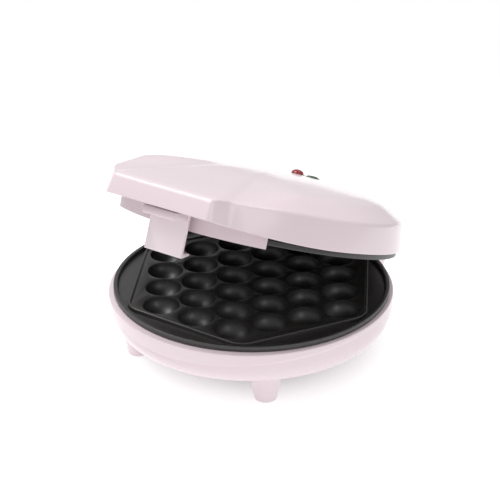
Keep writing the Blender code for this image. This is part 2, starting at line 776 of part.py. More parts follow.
def build_plate_screws():
    """The countersunk screws that hold the upper plate to the lid's posts."""
    for number, centre in enumerate(ring_places(LID_POST_REACH, LID_POST_ANGLES), 1):
        face = upper_level(FLOOR_DEPTH)
        neck = upper_level(FLOOR_DEPTH + COUNTERSINK_DEPTH)
        tip = upper_level(SLAB_DEPTH) + SCREW_BITE
        head = COUNTERSINK_RADIUS - GAP
        profile = [(0, face), (head, face), (SHANK_RADIUS, neck), (SHANK_RADIUS, tip), (0, tip)]
        bm = bmesh.new()
        add_turned(bm, profile, SMALL_SIDES, centre)
        new_object("upper_plate_screw_" + str(number), bm, "steel")


def build_screws(name, places, head, seat, tip):
    """Like screws at several places, each a piece of its own."""
    for number, centre in enumerate(places, 1):
        bm = bmesh.new()
        add_screw(bm, centre, head, seat, tip, HEAD_RADIUS)
        new_object(name + "_" + str(number), bm, "steel")


def smooth_least(first, second, width):
    """The lesser of two lengths, rounded off where they are alike."""
    near = max(width - abs(first - second), 0)
    return min(first, second) - near * near / (4 * width)


def smooth_most(first, second, width):
    """The greater of two lengths, filled in where they are alike."""
    near = max(width - abs(first - second), 0)
    return max(first, second) + near * near / (4 * width)


def tail_reach(angle):
    """Distance to the tail's straight back and sides, at an angle from the back."""
    to_back = TAIL_BACK / math.cos(angle)
    sideways = abs(math.sin(angle))
    if sideways * to_back < TAIL_HALF_WIDTH / 2:
        return to_back
    return smooth_least(to_back, TAIL_HALF_WIDTH / sideways, TAIL_CORNER)


def lid_reach(angle, radius):
    """Distance to the lid's outline: a circle drawn out to a chin, with a short straight nose on it."""
    reach = radius + CHIN_REACH * ((1 + math.cos(angle)) / 2) ** CHIN_SHAPE
    if abs(angle) > NOSE_SPREAD:
        return reach
    sideways = abs(math.sin(angle)) + NOSE_FLARE_SHARE * math.cos(angle)
    side = (NOSE_HALF_WIDTH + NOSE_FLARE_SHARE * NOSE_FRONT) / sideways
    reach = smooth_most(reach, min(side, NOSE_SIDE_MOST), NOSE_BLEND)
    return smooth_least(NOSE_FRONT / math.cos(angle), reach, NOSE_CORNER)


def outline_angles(nose):
    """Angles from the front, closer together at the nose's and the tail's corners."""
    front = ((0, 14, 2), (14, 25, 8), (25, 56, 5)) if nose else ((0, 56, 8),)
    spans = front + ((56, 148, 11), (148, 164, 5), (164, 180, 2))
    half = []
    for start, end, steps in spans:
        half += [start + (end - start) * step / steps for step in range(steps)]
    right = [math.radians(angle) for angle in half] + [math.pi]
    left = [-angle for angle in reversed(right[1:-1])]
    return right + left


def housing_outline(radius, nose, tail):
    """Outline of a housing seen from above, with or without the nose in front and the tail behind."""
    points = []
    for angle in outline_angles(nose):
        reach = lid_reach(angle, radius) if nose else radius
        if tail and math.cos(angle) < -math.cos(TAIL_SPREAD):
            reach = smooth_most(reach, tail_reach(math.pi - abs(angle)), TAIL_BLEND)
        points.append(Vector((reach * math.sin(angle), -reach * math.cos(angle))))
    return points


def inset(points, distance):
    """An outline moved inwards, square to itself."""
    moved = []
    count = len(points)
    for index, point in enumerate(points):
        along = (points[(index + 1) % count] - points[index - 1]).normalized()
        moved.append(point + Vector((-along.y, along.x)) * distance)
    return moved


def ease(value):
    """A smooth step from nothing to one."""
    value = min(max(value, 0), 1)
    return value * value * (3 - 2 * value)


def band_weight(point):
    """How far the front band is present at a place on the lower housing's side."""
    angle = math.atan2(abs(point.x), -point.y)
    return ease(1 - angle / BAND_SPREAD)


def rounded_share(share):
    """How far a bowl's wall has turned in, at a share of its depth."""
    return 1 - (1 - share ** BOWL_FULLNESS) ** (1 / BOWL_FULLNESS)


def level_ring(points, height):
    """An outline laid at one height."""
    return [(point.x, point.y, height) for point in points]


def housing_ring(points, distances, heights):
    """An outline moved in by one distance for each point, each at its own height."""
    count = len(points)
    ring = []
    for index, point in enumerate(points):
        along = (points[(index + 1) % count] - points[index - 1]).normalized()
        moved = point + Vector((-along.y, along.x)) * distances[index]
        ring.append((moved.x, moved.y, heights[index]))
    return ring


def lower_shell(bm):
    """The bowl with its lip, its front band and the solid tail that carries the hinge."""
    outer = housing_outline(BASE_RADIUS, nose=False, tail=True)
    plain = housing_outline(BASE_RADIUS, nose=False, tail=False)
    lip = -FLANGE_HEIGHT - GAP
    weights = [band_weight(point) for point in outer]
    proud = [-BAND_PROUD * weight for weight in weights]
    tucked = [BAND_UNDERCUT * weight + distance + GAP for weight, distance in zip(weights, proud)]
    deepening = BAND_FRONT_DEPTH - BAND_SIDE_DEPTH
    band_low = [lip - BAND_SIDE_DEPTH - deepening * weight for weight in weights]
    under_low = [low - BAND_SLOPE for low in band_low]

    rings = [[(0, 0, -BASE_DEPTH)]]
    for share in reversed(BOWL_SHARES):
        turned = BOWL_ROUND * rounded_share(share)
        distances = [start * (1 - share) + turned for start in tucked]
        heights = [low + (-BASE_DEPTH - low) * share for low in under_low]
        rings.append(housing_ring(outer, distances, heights))
    rings.append(housing_ring(outer, tucked, under_low))
    rings.append(housing_ring(outer, proud, band_low))
    rings.append(housing_ring(outer, proud, [lip - LIP_TOP] * len(outer)))
    rings.append(housing_ring(outer, [LIP_TOP + distance for distance in proud], [lip] * len(outer)))

    seat = BASE_RADIUS - SLAB_RADIUS - 2 * GAP
    top = -SLAB_DEPTH - GAP
    floor = -BASE_DEPTH + BASE_WALL
    rings.append(level_ring(inset(plain, seat), lip))
    rings.append(level_ring(inset(plain, seat), top))
    for share in INNER_BOWL_SHARES:
        turned = (BOWL_ROUND - seat / 2) * rounded_share(share)
        rings.append(level_ring(inset(plain, seat + turned), top + (floor - top) * share))
    rings.append([(0, 0, floor)])
    add_rings(bm, rings)


def build_lower_housing():
    """The whole lower moulding: shell, feet, screw posts, hinge towers and the cord's outlet."""
    bm = bmesh.new()
    lower_shell(bm)
    housing = new_object("lower_housing", bm, "pink_plastic")

    added = bmesh.new()
    floor = -BASE_DEPTH + BASE_WALL
    buried = (floor - BASE_DEPTH) / 2
    for x in (-FOOT_SIDE, FOOT_SIDE):
        for y in (-FOOT_FRONT, FOOT_FRONT):
            end = -FOOT_HEIGHT + PAD_PROUD
            socket = PAD_RADIUS + GAP
            profile = [
                (0, buried),
                (FOOT_TOP_RADIUS, buried),
                (FOOT_END_RADIUS + FOOT_ROUND / 2, end + FOOT_ROUND),
                (FOOT_END_RADIUS, end + FOOT_ROUND / 4),
                (FOOT_END_RADIUS - FOOT_ROUND / 2, end),
                (socket, end),
                (socket, end + PAD_SOCKET),
                (0, end + PAD_SOCKET),
            ]
            add_turned(added, profile, FOOT_SIDES, (x, y))
    for centre in ring_places(STUD_REACH, STUD_ANGLES):
        profile = [(0, buried), (SCREW_POST_RADIUS, buried)]
        profile += [(SCREW_POST_RADIUS, -STACK_END), (0, -STACK_END)]
        add_turned(added, profile, SMALL_SIDES, centre)
    add_block_seat(added, lower_level, -buried, -buried)
    for side in (-1, 1):
        inner = side * (KNUCKLE_INNER + KNUCKLE_WIDTH + GAP)
        outer = inner + side * TOWER_WIDTH
        add_lug(added, inner, outer, HINGE, -HINGE_DROP - 2 * HINGE_EYE)
    combine(housing, new_object("added", added, "pink_plastic"), "UNION")
    join_pegs(housing, lower_level)

    cut = bmesh.new()
    for centre in ring_places(STUD_REACH, STUD_ANGLES):
        seat = -BASE_DEPTH + COUNTERBORE_DEPTH
        bore = SHANK_RADIUS + GAP
        profile = [(0, -BASE_DEPTH - OVERRUN), (COUNTERBORE_RADIUS, -BASE_DEPTH - OVERRUN)]
        profile += [(COUNTERBORE_RADIUS, seat), (bore, seat)]
        profile += [(bore, -STACK_END + OVERRUN), (0, -STACK_END + OVERRUN)]
        add_turned(cut, profile, SMALL_SIDES, centre)
    swing = HINGE_EYE + 2 * GAP
    for side in (-1, 1):
        inner = side * (KNUCKLE_INNER - CLIP_SHEET - PIN_TAIL - GAP)
        outer = side * (KNUCKLE_INNER + KNUCKLE_WIDTH + GAP)
        low_x, high_x = sorted((inner, outer))
        low = (low_x, HINGE_BACK - swing, -HINGE_DROP - swing)
        add_block(cut, low, (high_x, TAIL_BACK + OVERRUN, OVERRUN))
    back = (0, TAIL_BACK + OVERRUN, -GLAND_DROP)
    front = (0, SLAB_RADIUS - OVERRUN, -GLAND_DROP)
    add_rod(cut, front, back, GLAND_RADIUS + GAP, ROUND_SIDES)
    combine(housing, new_object("cut", cut, "pink_plastic"), "DIFFERENCE")
    bores = bmesh.new()
    bore = HINGE_PIN + GAP
    pocket = PIN_HEAD_RADIUS + GAP
    inner = KNUCKLE_INNER - CLIP_SHEET - PIN_TAIL - OVERRUN
    seat = KNUCKLE_INNER + KNUCKLE_WIDTH + GAP + TOWER_WIDTH
    end = TAIL_HALF_WIDTH + OVERRUN
    stations = [(inner, 0), (inner, bore), (seat, bore), (seat, pocket), (end, pocket), (end, 0)]
    for side in (-1, 1):
        add_turned_sideways(bores, stations, side, SMALL_SIDES)
    combine(housing, new_object("bores", bores, "pink_plastic"), "DIFFERENCE")


def add_lug(bm, inner, outer, axis, height):
    """A flat lug with a round eye about an axis along X, reaching to a height above or below it."""
    turns = []
    upwards = height > axis.z
    for step in range(TUBE_SIDES + 1):
        angle = math.pi * step / TUBE_SIDES
        turns.append(angle + math.pi if upwards else angle)
    profile = [(HINGE_EYE * math.cos(t), HINGE_EYE * math.sin(t)) for t in turns]
    points = [(axis.y + y, axis.z + z) for y, z in profile]
    points += [(points[-1][0], height), (points[0][0], height)]
    rings = [[(x, y, z) for y, z in points] for x in (inner, outer)]
    add_rings(bm, rings)


def lid_edge_height(y):
    """Height of the lid's lower edge, which climbs towards the front."""
    share = max(-y - LID_EDGE_START, 0) / (NOSE_FRONT - LID_EDGE_START)
    return LID_SIDE_EDGE + (LID_FRONT_EDGE - LID_SIDE_EDGE) * share * share


def crease_height(y):
    """Height of the crease between the lid's side and its top, highest beside the nose."""
    away = abs(y + CREASE_RISE_FRONT)
    return CREASE_HEIGHT + CREASE_RISE * ease(1 - away / CREASE_RISE_REACH)


def skin_middle(x, y):
    """Height half-way through the lid's sloping skin, at a place near its side."""
    start = LID_DRAFT + CREASE_ROUND
    inside = lid_reach(math.atan2(x, -y), LID_RADIUS) - math.hypot(x, y)
    share = (inside - start) / (SHOULDER_INSET - start)
    return CREASE_HEIGHT + (SHOULDER_HEIGHT - CREASE_HEIGHT) * share - LID_WALL / 2


def add_lid_post(bm, centre, low):
    """A screw post whose top ends inside the lid's sloping skin."""
    foot = circle(LID_POST_RADIUS, low, SMALL_SIDES, centre)
    top = [(x, y, skin_middle(x, y)) for x, y, height in foot]
    add_rings(bm, [[(*centre, low)], foot, top, [(*centre, skin_middle(*centre))]])


def nose_weight(point):
    """How far a place on the lid's outline belongs to the nose."""
    return ease((-point.y - NOSE_START) / (NOSE_FULL - NOSE_START))


def lid_rings(outline, plain, wall):
    """Rings of the lid's skin from its lower edge to the middle of its top, a wall's thickness in."""
    weights = [nose_weight(point) for point in plain]
    count = len(outline)
    edge = housing_ring(outline, [wall] * count, [lid_edge_height(point.y) for point in outline])
    rings = [edge]
    for distance, drop in ((LID_DRAFT, CREASE_ROUND), (LID_DRAFT + CREASE_ROUND, 0)):
        heights = [crease_height(point.y) - drop - wall for point in outline]
        rings.append(housing_ring(outline, [distance + wall / 2] * count, heights))
    front_width = SHOULDER_FRONT_INSET + SHOULDER_FRONT_WIDTH
    low_front = CREASE_HEIGHT + SHOULDER_FRONT_RISE
    top_front = CREASE_HEIGHT + SHOULDER_TOP_FRONT_RISE
    levels = (
        (SHOULDER_INSET, SHOULDER_FRONT_INSET, SHOULDER_HEIGHT, low_front),
        (SHOULDER_INSET + SHOULDER_WIDTH, front_width, SHOULDER_TOP, top_front),
    )
    for side_inset, front_inset, side_height, front_height in levels:
        ring = []
        for point, weight in zip(plain, weights):
            distance = side_inset + (front_inset - side_inset) * weight + wall / 2
            height = side_height + (front_height - side_height) * weight - wall
            drawn_in = point * (1 - distance / point.length)
            ring.append((drawn_in.x, drawn_in.y, height))
        rings.append(ring)
    crowns = (
        (CROWN_EDGE_SHARE, CROWN_EDGE_HEIGHT, CROWN_EDGE_HEIGHT - CROWN_EDGE_FRONT_DROP),
        (CROWN_SHARE, CROWN_HEIGHT, CROWN_HEIGHT),
    )
    for share, side_height, front_height in crowns:
        heights = [side_height + (front_height - side_height) * weight - wall for weight in weights]
        rings.append([(p.x * share, p.y * share, height) for p, height in zip(plain, heights)])
    rings.append([(0, 0, CROWN_TOP - wall)])
    return rings


def build_upper_housing():
    """The lid's moulding: shell with a nose, solid tail with two knuckles, posts and lamp holes."""
    plain = housing_outline(LID_RADIUS, nose=True, tail=False)
    skin_rings = lid_rings(housing_outline(LID_RADIUS, nose=True, tail=True), plain, 0)
    inner_rings = lid_rings(plain, plain, LID_WALL)
    bm = bmesh.new()
    add_rings(bm, list(reversed(skin_rings)) + inner_rings)
    housing = new_object("upper_housing", bm, "pink_plastic")

    added = bmesh.new()
    end = upper_level(SLAB_DEPTH) + GAP
    for centre in ring_places(LID_POST_REACH, LID_POST_ANGLES):
        add_lid_post(added, centre, end)
    for side in (-1, 1):
        inner = side * KNUCKLE_INNER
        add_lug(added, inner, inner + side * KNUCKLE_WIDTH, HINGE, LID_SIDE_EDGE + HINGE_EYE)
        floor = NOSE_FLOOR_TOP + GAP
        profile = [(0, floor), (NOSE_POST_RADIUS, floor)]
        profile += [(NOSE_POST_RADIUS, NOSE_POST_TOP), (0, NOSE_POST_TOP)]
        add_turned(added, profile, SMALL_SIDES, (side * NOSE_POST_SIDE, -NOSE_POST_FRONT))
        sheet_top = LAMP_BRACKET_HEIGHT + LAMP_BRACKET_SHEET + GAP
        profile = [(0, sheet_top), (LAMP_BOSS_RADIUS, sheet_top)]
        profile += [(LAMP_BOSS_RADIUS, LENS_SEAT), (0, LENS_SEAT)]
        add_turned(added, profile, SMALL_SIDES, (side * LAMP_SCREW_SIDE, LAMP_BACK))
    add_block_seat(added, upper_level, LID_SEAT_FRONT_ROOT, LID_SEAT_BACK_ROOT)
    combine(housing, new_object("added", added, "pink_plastic"), "UNION")
    join_pegs(housing, upper_level)

    cut = bmesh.new()
    bore = SHANK_RADIUS + GAP
    for centre in ring_places(LID_POST_REACH, LID_POST_ANGLES):
        profile = [(0, end - OVERRUN), (bore, end - OVERRUN)]
        profile += [(bore, end + SCREW_BITE), (0, end + SCREW_BITE)]
        add_turned(cut, profile, SMALL_SIDES, centre)
    for side in (-1, 1):
        floor = NOSE_FLOOR_TOP
        profile = [(0, floor - OVERRUN), (bore, floor - OVERRUN)]
        profile += [(bore, floor + SCREW_BITE), (0, floor + SCREW_BITE)]
        add_turned(cut, profile, SMALL_SIDES, (side * NOSE_POST_SIDE, -NOSE_POST_FRONT))
        start = Vector((side * (KNUCKLE_INNER - OVERRUN), 0, 0)) + HINGE
        finish = Vector((side * (KNUCKLE_INNER + KNUCKLE_WIDTH + OVERRUN), 0, 0)) + HINGE
        add_rod(cut, start, finish, HINGE_PIN + GAP, SMALL_SIDES)
        low = LAMP_BRACKET_HEIGHT
        high = low + LAMP_BRACKET_SHEET + LAMP_SCREW_LENGTH + GAP
        profile = [(0, low), (bore, low), (bore, high), (0, high)]
        add_turned(cut, profile, SMALL_SIDES, (side * LAMP_SCREW_SIDE, LAMP_BACK))
        socket = LENS_RADIUS + GAP
        rebate = LENS_FLANGE + GAP
        seat = LENS_SEAT + LENS_RISE
        top = CROWN_TOP + OVERRUN
        profile = [(0, seat - 2 * OVERRUN), (socket, seat - 2 * OVERRUN), (socket, seat)]
        profile += [(rebate, seat), (rebate, top), (0, top)]
        add_turned(cut, profile, ROUND_SIDES, (side * LAMP_SIDE, LAMP_BACK))
    combine(housing, new_object("cut", cut, "pink_plastic"), "DIFFERENCE")


def even_angles(spread):
    """Angles evenly across the front, from the right-hand end to the left-hand end."""
    return [spread - 2 * spread * step / SKIRT_STEPS for step in range(SKIRT_STEPS + 1)]


def build_nose_cover():
    """The floor of the nose with the curved skirt behind it, the latch's window and its two ears."""
    outline = inset(housing_outline(LID_RADIUS, nose=True, tail=False), LID_WALL + COVER_PLAY)
    inner = SKIRT_RADIUS
    edge = []
    for point in outline:
        if point.y < 0 and point.length > inner + SKIRT_WALL:
            edge.append(point)
    edge.sort(key=lambda point: point.x)
    spread = math.atan2(edge[-1].x, -edge[-1].y)
    arc = even_angles(spread)
    back = ring_places(inner + SKIRT_WALL / 2, arc)
    front = [(point.x, point.y) for point in edge]
    low = NOSE_FLOOR_LOW
    half = LATCH_WIDTH / 2 + LATCH_WINDOW_MARGIN
    window = [
        (-half, -TAB_FRONT - TAB_SWING),
        (half, -TAB_FRONT - TAB_SWING),
        (half, -LATCH_PIVOT_FRONT + LATCH_BARREL + GAP),
        (-half, -LATCH_PIVOT_FRONT + LATCH_BARREL + GAP),
    ]
    holes = [window]
    for side in (-1, 1):
        place = (side * NOSE_POST_SIDE, -NOSE_POST_FRONT)
        holes.append(hole_points(SHANK_RADIUS + GAP, SMALL_SIDES, place))
    bm = bmesh.new()
    add_sheet(bm, front + back, holes, low, NOSE_FLOOR_TOP)
    cover = new_object("nose_cover", bm, "pink_plastic")

    added = bmesh.new()
    arc = even_angles(SKIRT_SPREAD)
    skirt = ring_places(inner, arc) + ring_places(inner + SKIRT_WALL, reversed(arc))
    add_sheet(added, skirt, [], SKIRT_LOW, NOSE_FLOOR_TOP + GAP)
    for side in (-1, 1):
        near = side * (half + GAP)
        far = near + side * LATCH_EAR_SHEET
        add_ear(added, near, far, (low + NOSE_FLOOR_TOP) / 2)
    combine(cover, new_object("added", added, "pink_plastic"), "UNION")
    cut = bmesh.new()
    reach = Vector((half + LATCH_EAR_SHEET + OVERRUN, 0, 0))
    add_rod(cut, LATCH_PIVOT - reach, LATCH_PIVOT + reach, LATCH_PIN + GAP, SMALL_SIDES)
    combine(cover, new_object("cut", cut, "pink_plastic"), "DIFFERENCE")


def build_nose_screws():
    """The two screws from below through the nose's floor into its posts."""
    places = [(side * NOSE_POST_SIDE, -NOSE_POST_FRONT) for side in (-1, 1)]
    seat = NOSE_FLOOR_LOW - GAP
    build_screws("nose_screw", places, seat - HEAD_HEIGHT, seat, NOSE_FLOOR_TOP + SCREW_BITE - GAP)


def add_ear(bm, near, far, foot):
    """An upright ear with a round top about the latch's pivot."""
    steps = TUBE_SIDES
    turns = [math.pi * step / steps for step in range(steps + 1)]
    points = [(LATCH_EAR_HALF * math.cos(t), LATCH_EAR_HALF * math.sin(t)) for t in turns]
    points = [(LATCH_PIVOT.y + y, LATCH_PIVOT.z + z) for y, z in points]
    points += [(points[-1][0], foot), (points[0][0], foot)]
    add_rings(bm, [[(x, y, z) for y, z in points] for x in (near, far)])


def build_latch():
    """The latch: barrel on its pin, plate, finger tab in front and hook behind."""
    pivot = LATCH_PIVOT
    band_front = BASE_RADIUS + BAND_PROUD
    band_low = -FLANGE_HEIGHT - GAP - BAND_FRONT_DEPTH - BAND_SLOPE
    half = LATCH_WIDTH / 2
    back = pivot.y + LATCH_SHEET / 2
    front = pivot.y - LATCH_SHEET / 2
    hook_top = band_low - LATCH_HOOK_PLAY
    hook_low = hook_top - LATCH_HOOK_HEIGHT
    hook_end = -band_front + LATCH_HOOK_BITE
    tab_top = lid_edge_height(-TAB_FRONT) - TAB_DROP
    tab_low = tab_top - TAB_HEIGHT
    barrel = bmesh.new()
    sideways = Vector((half, 0, 0))
    add_rod(barrel, pivot - sideways, pivot + sideways, LATCH_BARREL, ROUND_SIDES)
    latch = new_object("latch", barrel, "pink_plastic")
    plate = bmesh.new()
    profile = [
        (front, pivot.z),
        (back, pivot.z),
        (back, hook_top),
        (hook_end, hook_top),
        (hook_end, hook_top - LATCH_HOOK_TIP),
        (back, hook_low),
        (front, hook_low),
    ]
    add_rings(plate, [[(x, y, z) for y, z in profile] for x in (-half, half)])
    combine(latch, new_object("plate", plate, "pink_plastic"), "UNION")
    tab = bmesh.new()
    low = (-TAB_WIDTH / 2, -TAB_FRONT, tab_low)
    add_block(tab, low, (TAB_WIDTH / 2, pivot.y, tab_top))
    combine(latch, new_object("tab", tab, "pink_plastic"), "UNION")
    cut = bmesh.new()
    along = Vector((half + OVERRUN, 0, 0))
    add_rod(cut, pivot - along, pivot + along, LATCH_PIN + GAP, SMALL_SIDES)
    combine(latch, new_object("bore", cut, "pink_plastic"), "DIFFERENCE")
    notch = bmesh.new()
    wide = SPRING_RADIUS + 2 * SPRING_WIRE + GAP
    low = pivot - Vector((SPRING_NOTCH / 2, wide, wide))
    high = pivot + Vector((SPRING_NOTCH / 2, wide, wide))
    add_block(notch, low, high)
    combine(latch, new_object("notch", notch, "pink_plastic"), "DIFFERENCE")


def build_latch_pin():
    """The steel pin through the ears and the latch's barrel."""
    bm = bmesh.new()
    reach = LATCH_WIDTH / 2 + LATCH_WINDOW_MARGIN + GAP + LATCH_EAR_SHEET + 2 * GAP
    side = Vector((reach, 0, 0))
    add_rod(bm, LATCH_PIVOT - side, LATCH_PIVOT + side, LATCH_PIN, SMALL_SIDES)
    new_object("latch_pin", bm, "steel")


def build_latch_spring():
    """The wound spring on the latch's pin, with one leg down the plate and one leg forwards."""
    steps = SPRING_TURNS * SMALL_SIDES
    length = SPRING_TURNS * SPRING_PITCH
    points = []
    for step in range(steps + 1):
        angle = math.tau * step / SMALL_SIDES - math.pi / 2
        across = length * step / steps - length / 2
        wound = Vector((across, SPRING_RADIUS * math.cos(angle), SPRING_RADIUS * math.sin(angle)))
        points.append(LATCH_PIVOT + wound)
    points.insert(0, points[0] - Vector((0, SPRING_LEG / 2, 0)))
    points.append(points[-1] + Vector((0, SPRING_LEG / 2, 0)))
    bm = bmesh.new()
    add_sweep(bm, points, [SPRING_WIRE] * len(points), WIRE_SIDES)
    new_object("latch_spring", bm, "steel")


def build_hinge():
    """The two headed hinge pins and the clips on their inner ends."""
    for name, side in (("left", -1), ("right", 1)):
        inner = KNUCKLE_INNER - CLIP_SHEET - 2 * GAP - PIN_TAIL / 2
        outer = KNUCKLE_INNER + KNUCKLE_WIDTH + TOWER_WIDTH + 2 * GAP
        bm = bmesh.new()
        stations = [(inner, 0), (inner, HINGE_PIN), (outer, HINGE_PIN), (outer, PIN_HEAD_RADIUS)]
        stations += [(outer + PIN_HEAD_LENGTH, PIN_HEAD_RADIUS), (outer + PIN_HEAD_LENGTH, 0)]
        add_turned_sideways(bm, stations, side, SMALL_SIDES)
        new_object("hinge_pin_" + name, bm, "steel")
        bm = bmesh.new()
        start = Vector((side * (KNUCKLE_INNER - CLIP_SHEET - GAP), 0, 0)) + HINGE
        end = Vector((side * (KNUCKLE_INNER - GAP), 0, 0)) + HINGE
        add_rod(bm, start, end, CLIP_RADIUS, SMALL_SIDES, HINGE_PIN + GAP)
        new_object("hinge_clip_" + name, bm, "steel")


def add_turned_sideways(bm, stations, side, sides):
    """A body turned about the hinge's axis, from a list of distance from the middle and radius."""
    rings = []
    for distance, radius in stations:
        ring = circle(radius, 0, sides)
        rings.append([HINGE + Vector((side * distance, y, z)) for y, z, height in ring])
    add_rings(bm, rings)


def build_foot_pads():
    """The round pads set into the ends of the feet."""
    number = 0
    for y in (-FOOT_FRONT, FOOT_FRONT):
        for x in (-FOOT_SIDE, FOOT_SIDE):
            number += 1
            bm = bmesh.new()
            low = -FOOT_HEIGHT
            top = low + PAD_PROUD + PAD_SOCKET - GAP
            profile = [(0, low), (PAD_RADIUS - GAP, low), (PAD_RADIUS, low + GAP)]
            profile += [(PAD_RADIUS, top), (0, top)]
            add_turned(bm, profile, FOOT_SIDES, (x, y))
            new_object("foot_pad_" + str(number), bm, "grey_rubber")


def build_gland():
    """The bush that leads the cord out through the back wall."""
    outer = TAIL_BACK + GAP
    stations = [
        (outer - GLAND_LENGTH, GLAND_RADIUS),
        (outer, GLAND_RADIUS),
        (outer, GLAND_FLANGE),
        (outer + GLAND_FLANGE_LENGTH, GLAND_FLANGE - GAP),
        (outer + GLAND_FLANGE_LENGTH, GLAND_BORE),
        (outer - GLAND_LENGTH, GLAND_BORE),
    ]
    rings = []
    for y, radius in stations:
        rings.append([(x, y, z - GLAND_DROP) for x, z, height in circle(radius, 0, ROUND_SIDES)])
    bm = bmesh.new()
    add_rings(bm, rings, closed=True)
    new_object("cord_gland", bm, "black_rubber")


def peg_places():
    """Places of the two pegs that hold a terminal block."""
    middle = (TERMINAL_FRONT + TERMINAL_BACK) / 2
    return [(side * TERMINAL_SCREW_SPACING / 2, middle) for side in (-1, 1)]


def add_block_seat(bm, level, front_root, back_root):
    """The pad on a housing's inside under a terminal block, with its root inside the wall."""
    corners = (
        (-TERMINAL_HALF_WIDTH, TERMINAL_FRONT, front_root),
        (TERMINAL_HALF_WIDTH, TERMINAL_FRONT, front_root),
        (TERMINAL_HALF_WIDTH, TERMINAL_BACK, back_root),
        (-TERMINAL_HALF_WIDTH, TERMINAL_BACK, back_root),
    )
    root = [(x, y, level(depth)) for x, y, depth in corners]
    face = [(x, y, level(TERMINAL_DEPTH + GAP)) for x, y, depth in corners]
    add_rings(bm, [root, face])


def join_pegs(housing, level):
    """The two pegs on the pad, which stand through the terminal block."""
    pegs = bmesh.new()
    near = level(TERMINAL_DEPTH - TERMINAL_HEIGHT - GAP)
    buried = level(TERMINAL_DEPTH + 3 * GAP)
    for centre in peg_places():
        profile = [(0, near), (PEG_RADIUS, near), (PEG_RADIUS, buried), (0, buried)]
        add_turned(pegs, profile, SMALL_SIDES, centre)
    combine(housing, new_object("pegs", pegs, "pink_plastic"), "UNION")


def build_terminal_block(name, level):
    """The block that joins the leads, with a row of screw wells through it."""
    inset_x = TERMINAL_HALF_WIDTH - GAP
    outline = [
        (-inset_x, TERMINAL_FRONT + GAP),
        (inset_x, TERMINAL_FRONT + GAP),
        (inset_x, TERMINAL_BACK - GAP),
        (-inset_x, TERMINAL_BACK - GAP),
    ]
    middle = (TERMINAL_FRONT + TERMINAL_BACK) / 2
    places = [(step * TERMINAL_SCREW_SPACING, middle) for step in (-1, 0, 1)]
    holes = [hole_points(TERMINAL_WELL_RADIUS, SMALL_SIDES, place) for place in places]
    holes += [hole_points(PEG_RADIUS + GAP, SMALL_SIDES, place) for place in peg_places()]
    heights = sorted((level(TERMINAL_DEPTH), level(TERMINAL_DEPTH - TERMINAL_HEIGHT)))
    bm = bmesh.new()
    add_sheet(bm, outline, holes, *heights)
    new_object(name, bm, "white_ceramic")


def build_lamps():
    """Two signal lamps side by side at the back of the lid's top, on one bracket."""
    sheet_top = LAMP_BRACKET_HEIGHT + LAMP_BRACKET_SHEET
    lamps = (("power", -1, "red_lens", LENS_DOME), ("ready", 1, "green_lens", LENS_LOW_DOME))
    for name, side, finish, dome in lamps:
        centre = (side * LAMP_SIDE, LAMP_BACK)
        flange = LENS_SEAT + GAP + LENS_RISE
        crown = flange + LENS_FLANGE_SHEET
        profile = [
            (0, flange - LENS_SOCKET),
            (LENS_RADIUS, flange - LENS_SOCKET),
            (LENS_RADIUS, flange),
            (LENS_FLANGE, flange),
            (LENS_FLANGE, crown),
        ]
        for step in range(LENS_BANDS):
            lean = step / LENS_BANDS * math.pi / 2
            profile.append((LENS_RADIUS * math.cos(lean), crown + dome * math.sin(lean)))
        profile.append((0, crown + dome))
        bm = bmesh.new()
        add_turned(bm, profile, ROUND_SIDES, centre)
        new_object(name + "_lens", bm, finish)
        tip = flange - LENS_SOCKET - GAP
        profile = [
            (0, sheet_top - LAMP_STEM_LENGTH),
            (LAMP_STEM_RADIUS, sheet_top - LAMP_STEM_LENGTH),
            (LAMP_STEM_RADIUS, sheet_top + GAP),
            (LAMP_COLLAR_RADIUS, sheet_top + GAP),
            (LAMP_COLLAR_RADIUS, sheet_top + LAMP_COLLAR_HEIGHT),
            (LAMP_RADIUS, sheet_top + LAMP_COLLAR_HEIGHT),
            (LAMP_RADIUS, tip - LAMP_RADIUS / 2),
            (LAMP_RADIUS / 2, tip),
            (0, tip),
        ]
        bm = bmesh.new()
        add_turned(bm, profile, SMALL_SIDES, centre)
        new_object(name + "_lamp", bm, "lamp_glass")

    half = LAMP_BRACKET_LENGTH / 2
    deep = LAMP_BRACKET_WIDTH / 2
    outline = [(-half, -deep), (half, -deep), (half, deep), (-half, deep)]
    outline = [(x, y + LAMP_BACK) for x, y in outline]
    stems = [(side * LAMP_SIDE, LAMP_BACK) for side in (-1, 1)]
    holes = [hole_points(LAMP_STEM_RADIUS + GAP, SMALL_SIDES, place) for place in stems]
    screws = [(side * LAMP_SCREW_SIDE, LAMP_BACK) for side in (-1, 1)]
    holes += [hole_points(SHANK_RADIUS + GAP, SMALL_SIDES, place) for place in screws]
    bm = bmesh.new()
    add_sheet(bm, outline, holes, LAMP_BRACKET_HEIGHT, sheet_top)
    new_object("lamp_bracket", bm, "steel")
    seat = LAMP_BRACKET_HEIGHT - GAP
    build_screws("lamp_screw", screws, seat - LAMP_HEAD_HEIGHT, seat, sheet_top + LAMP_SCREW_LENGTH)


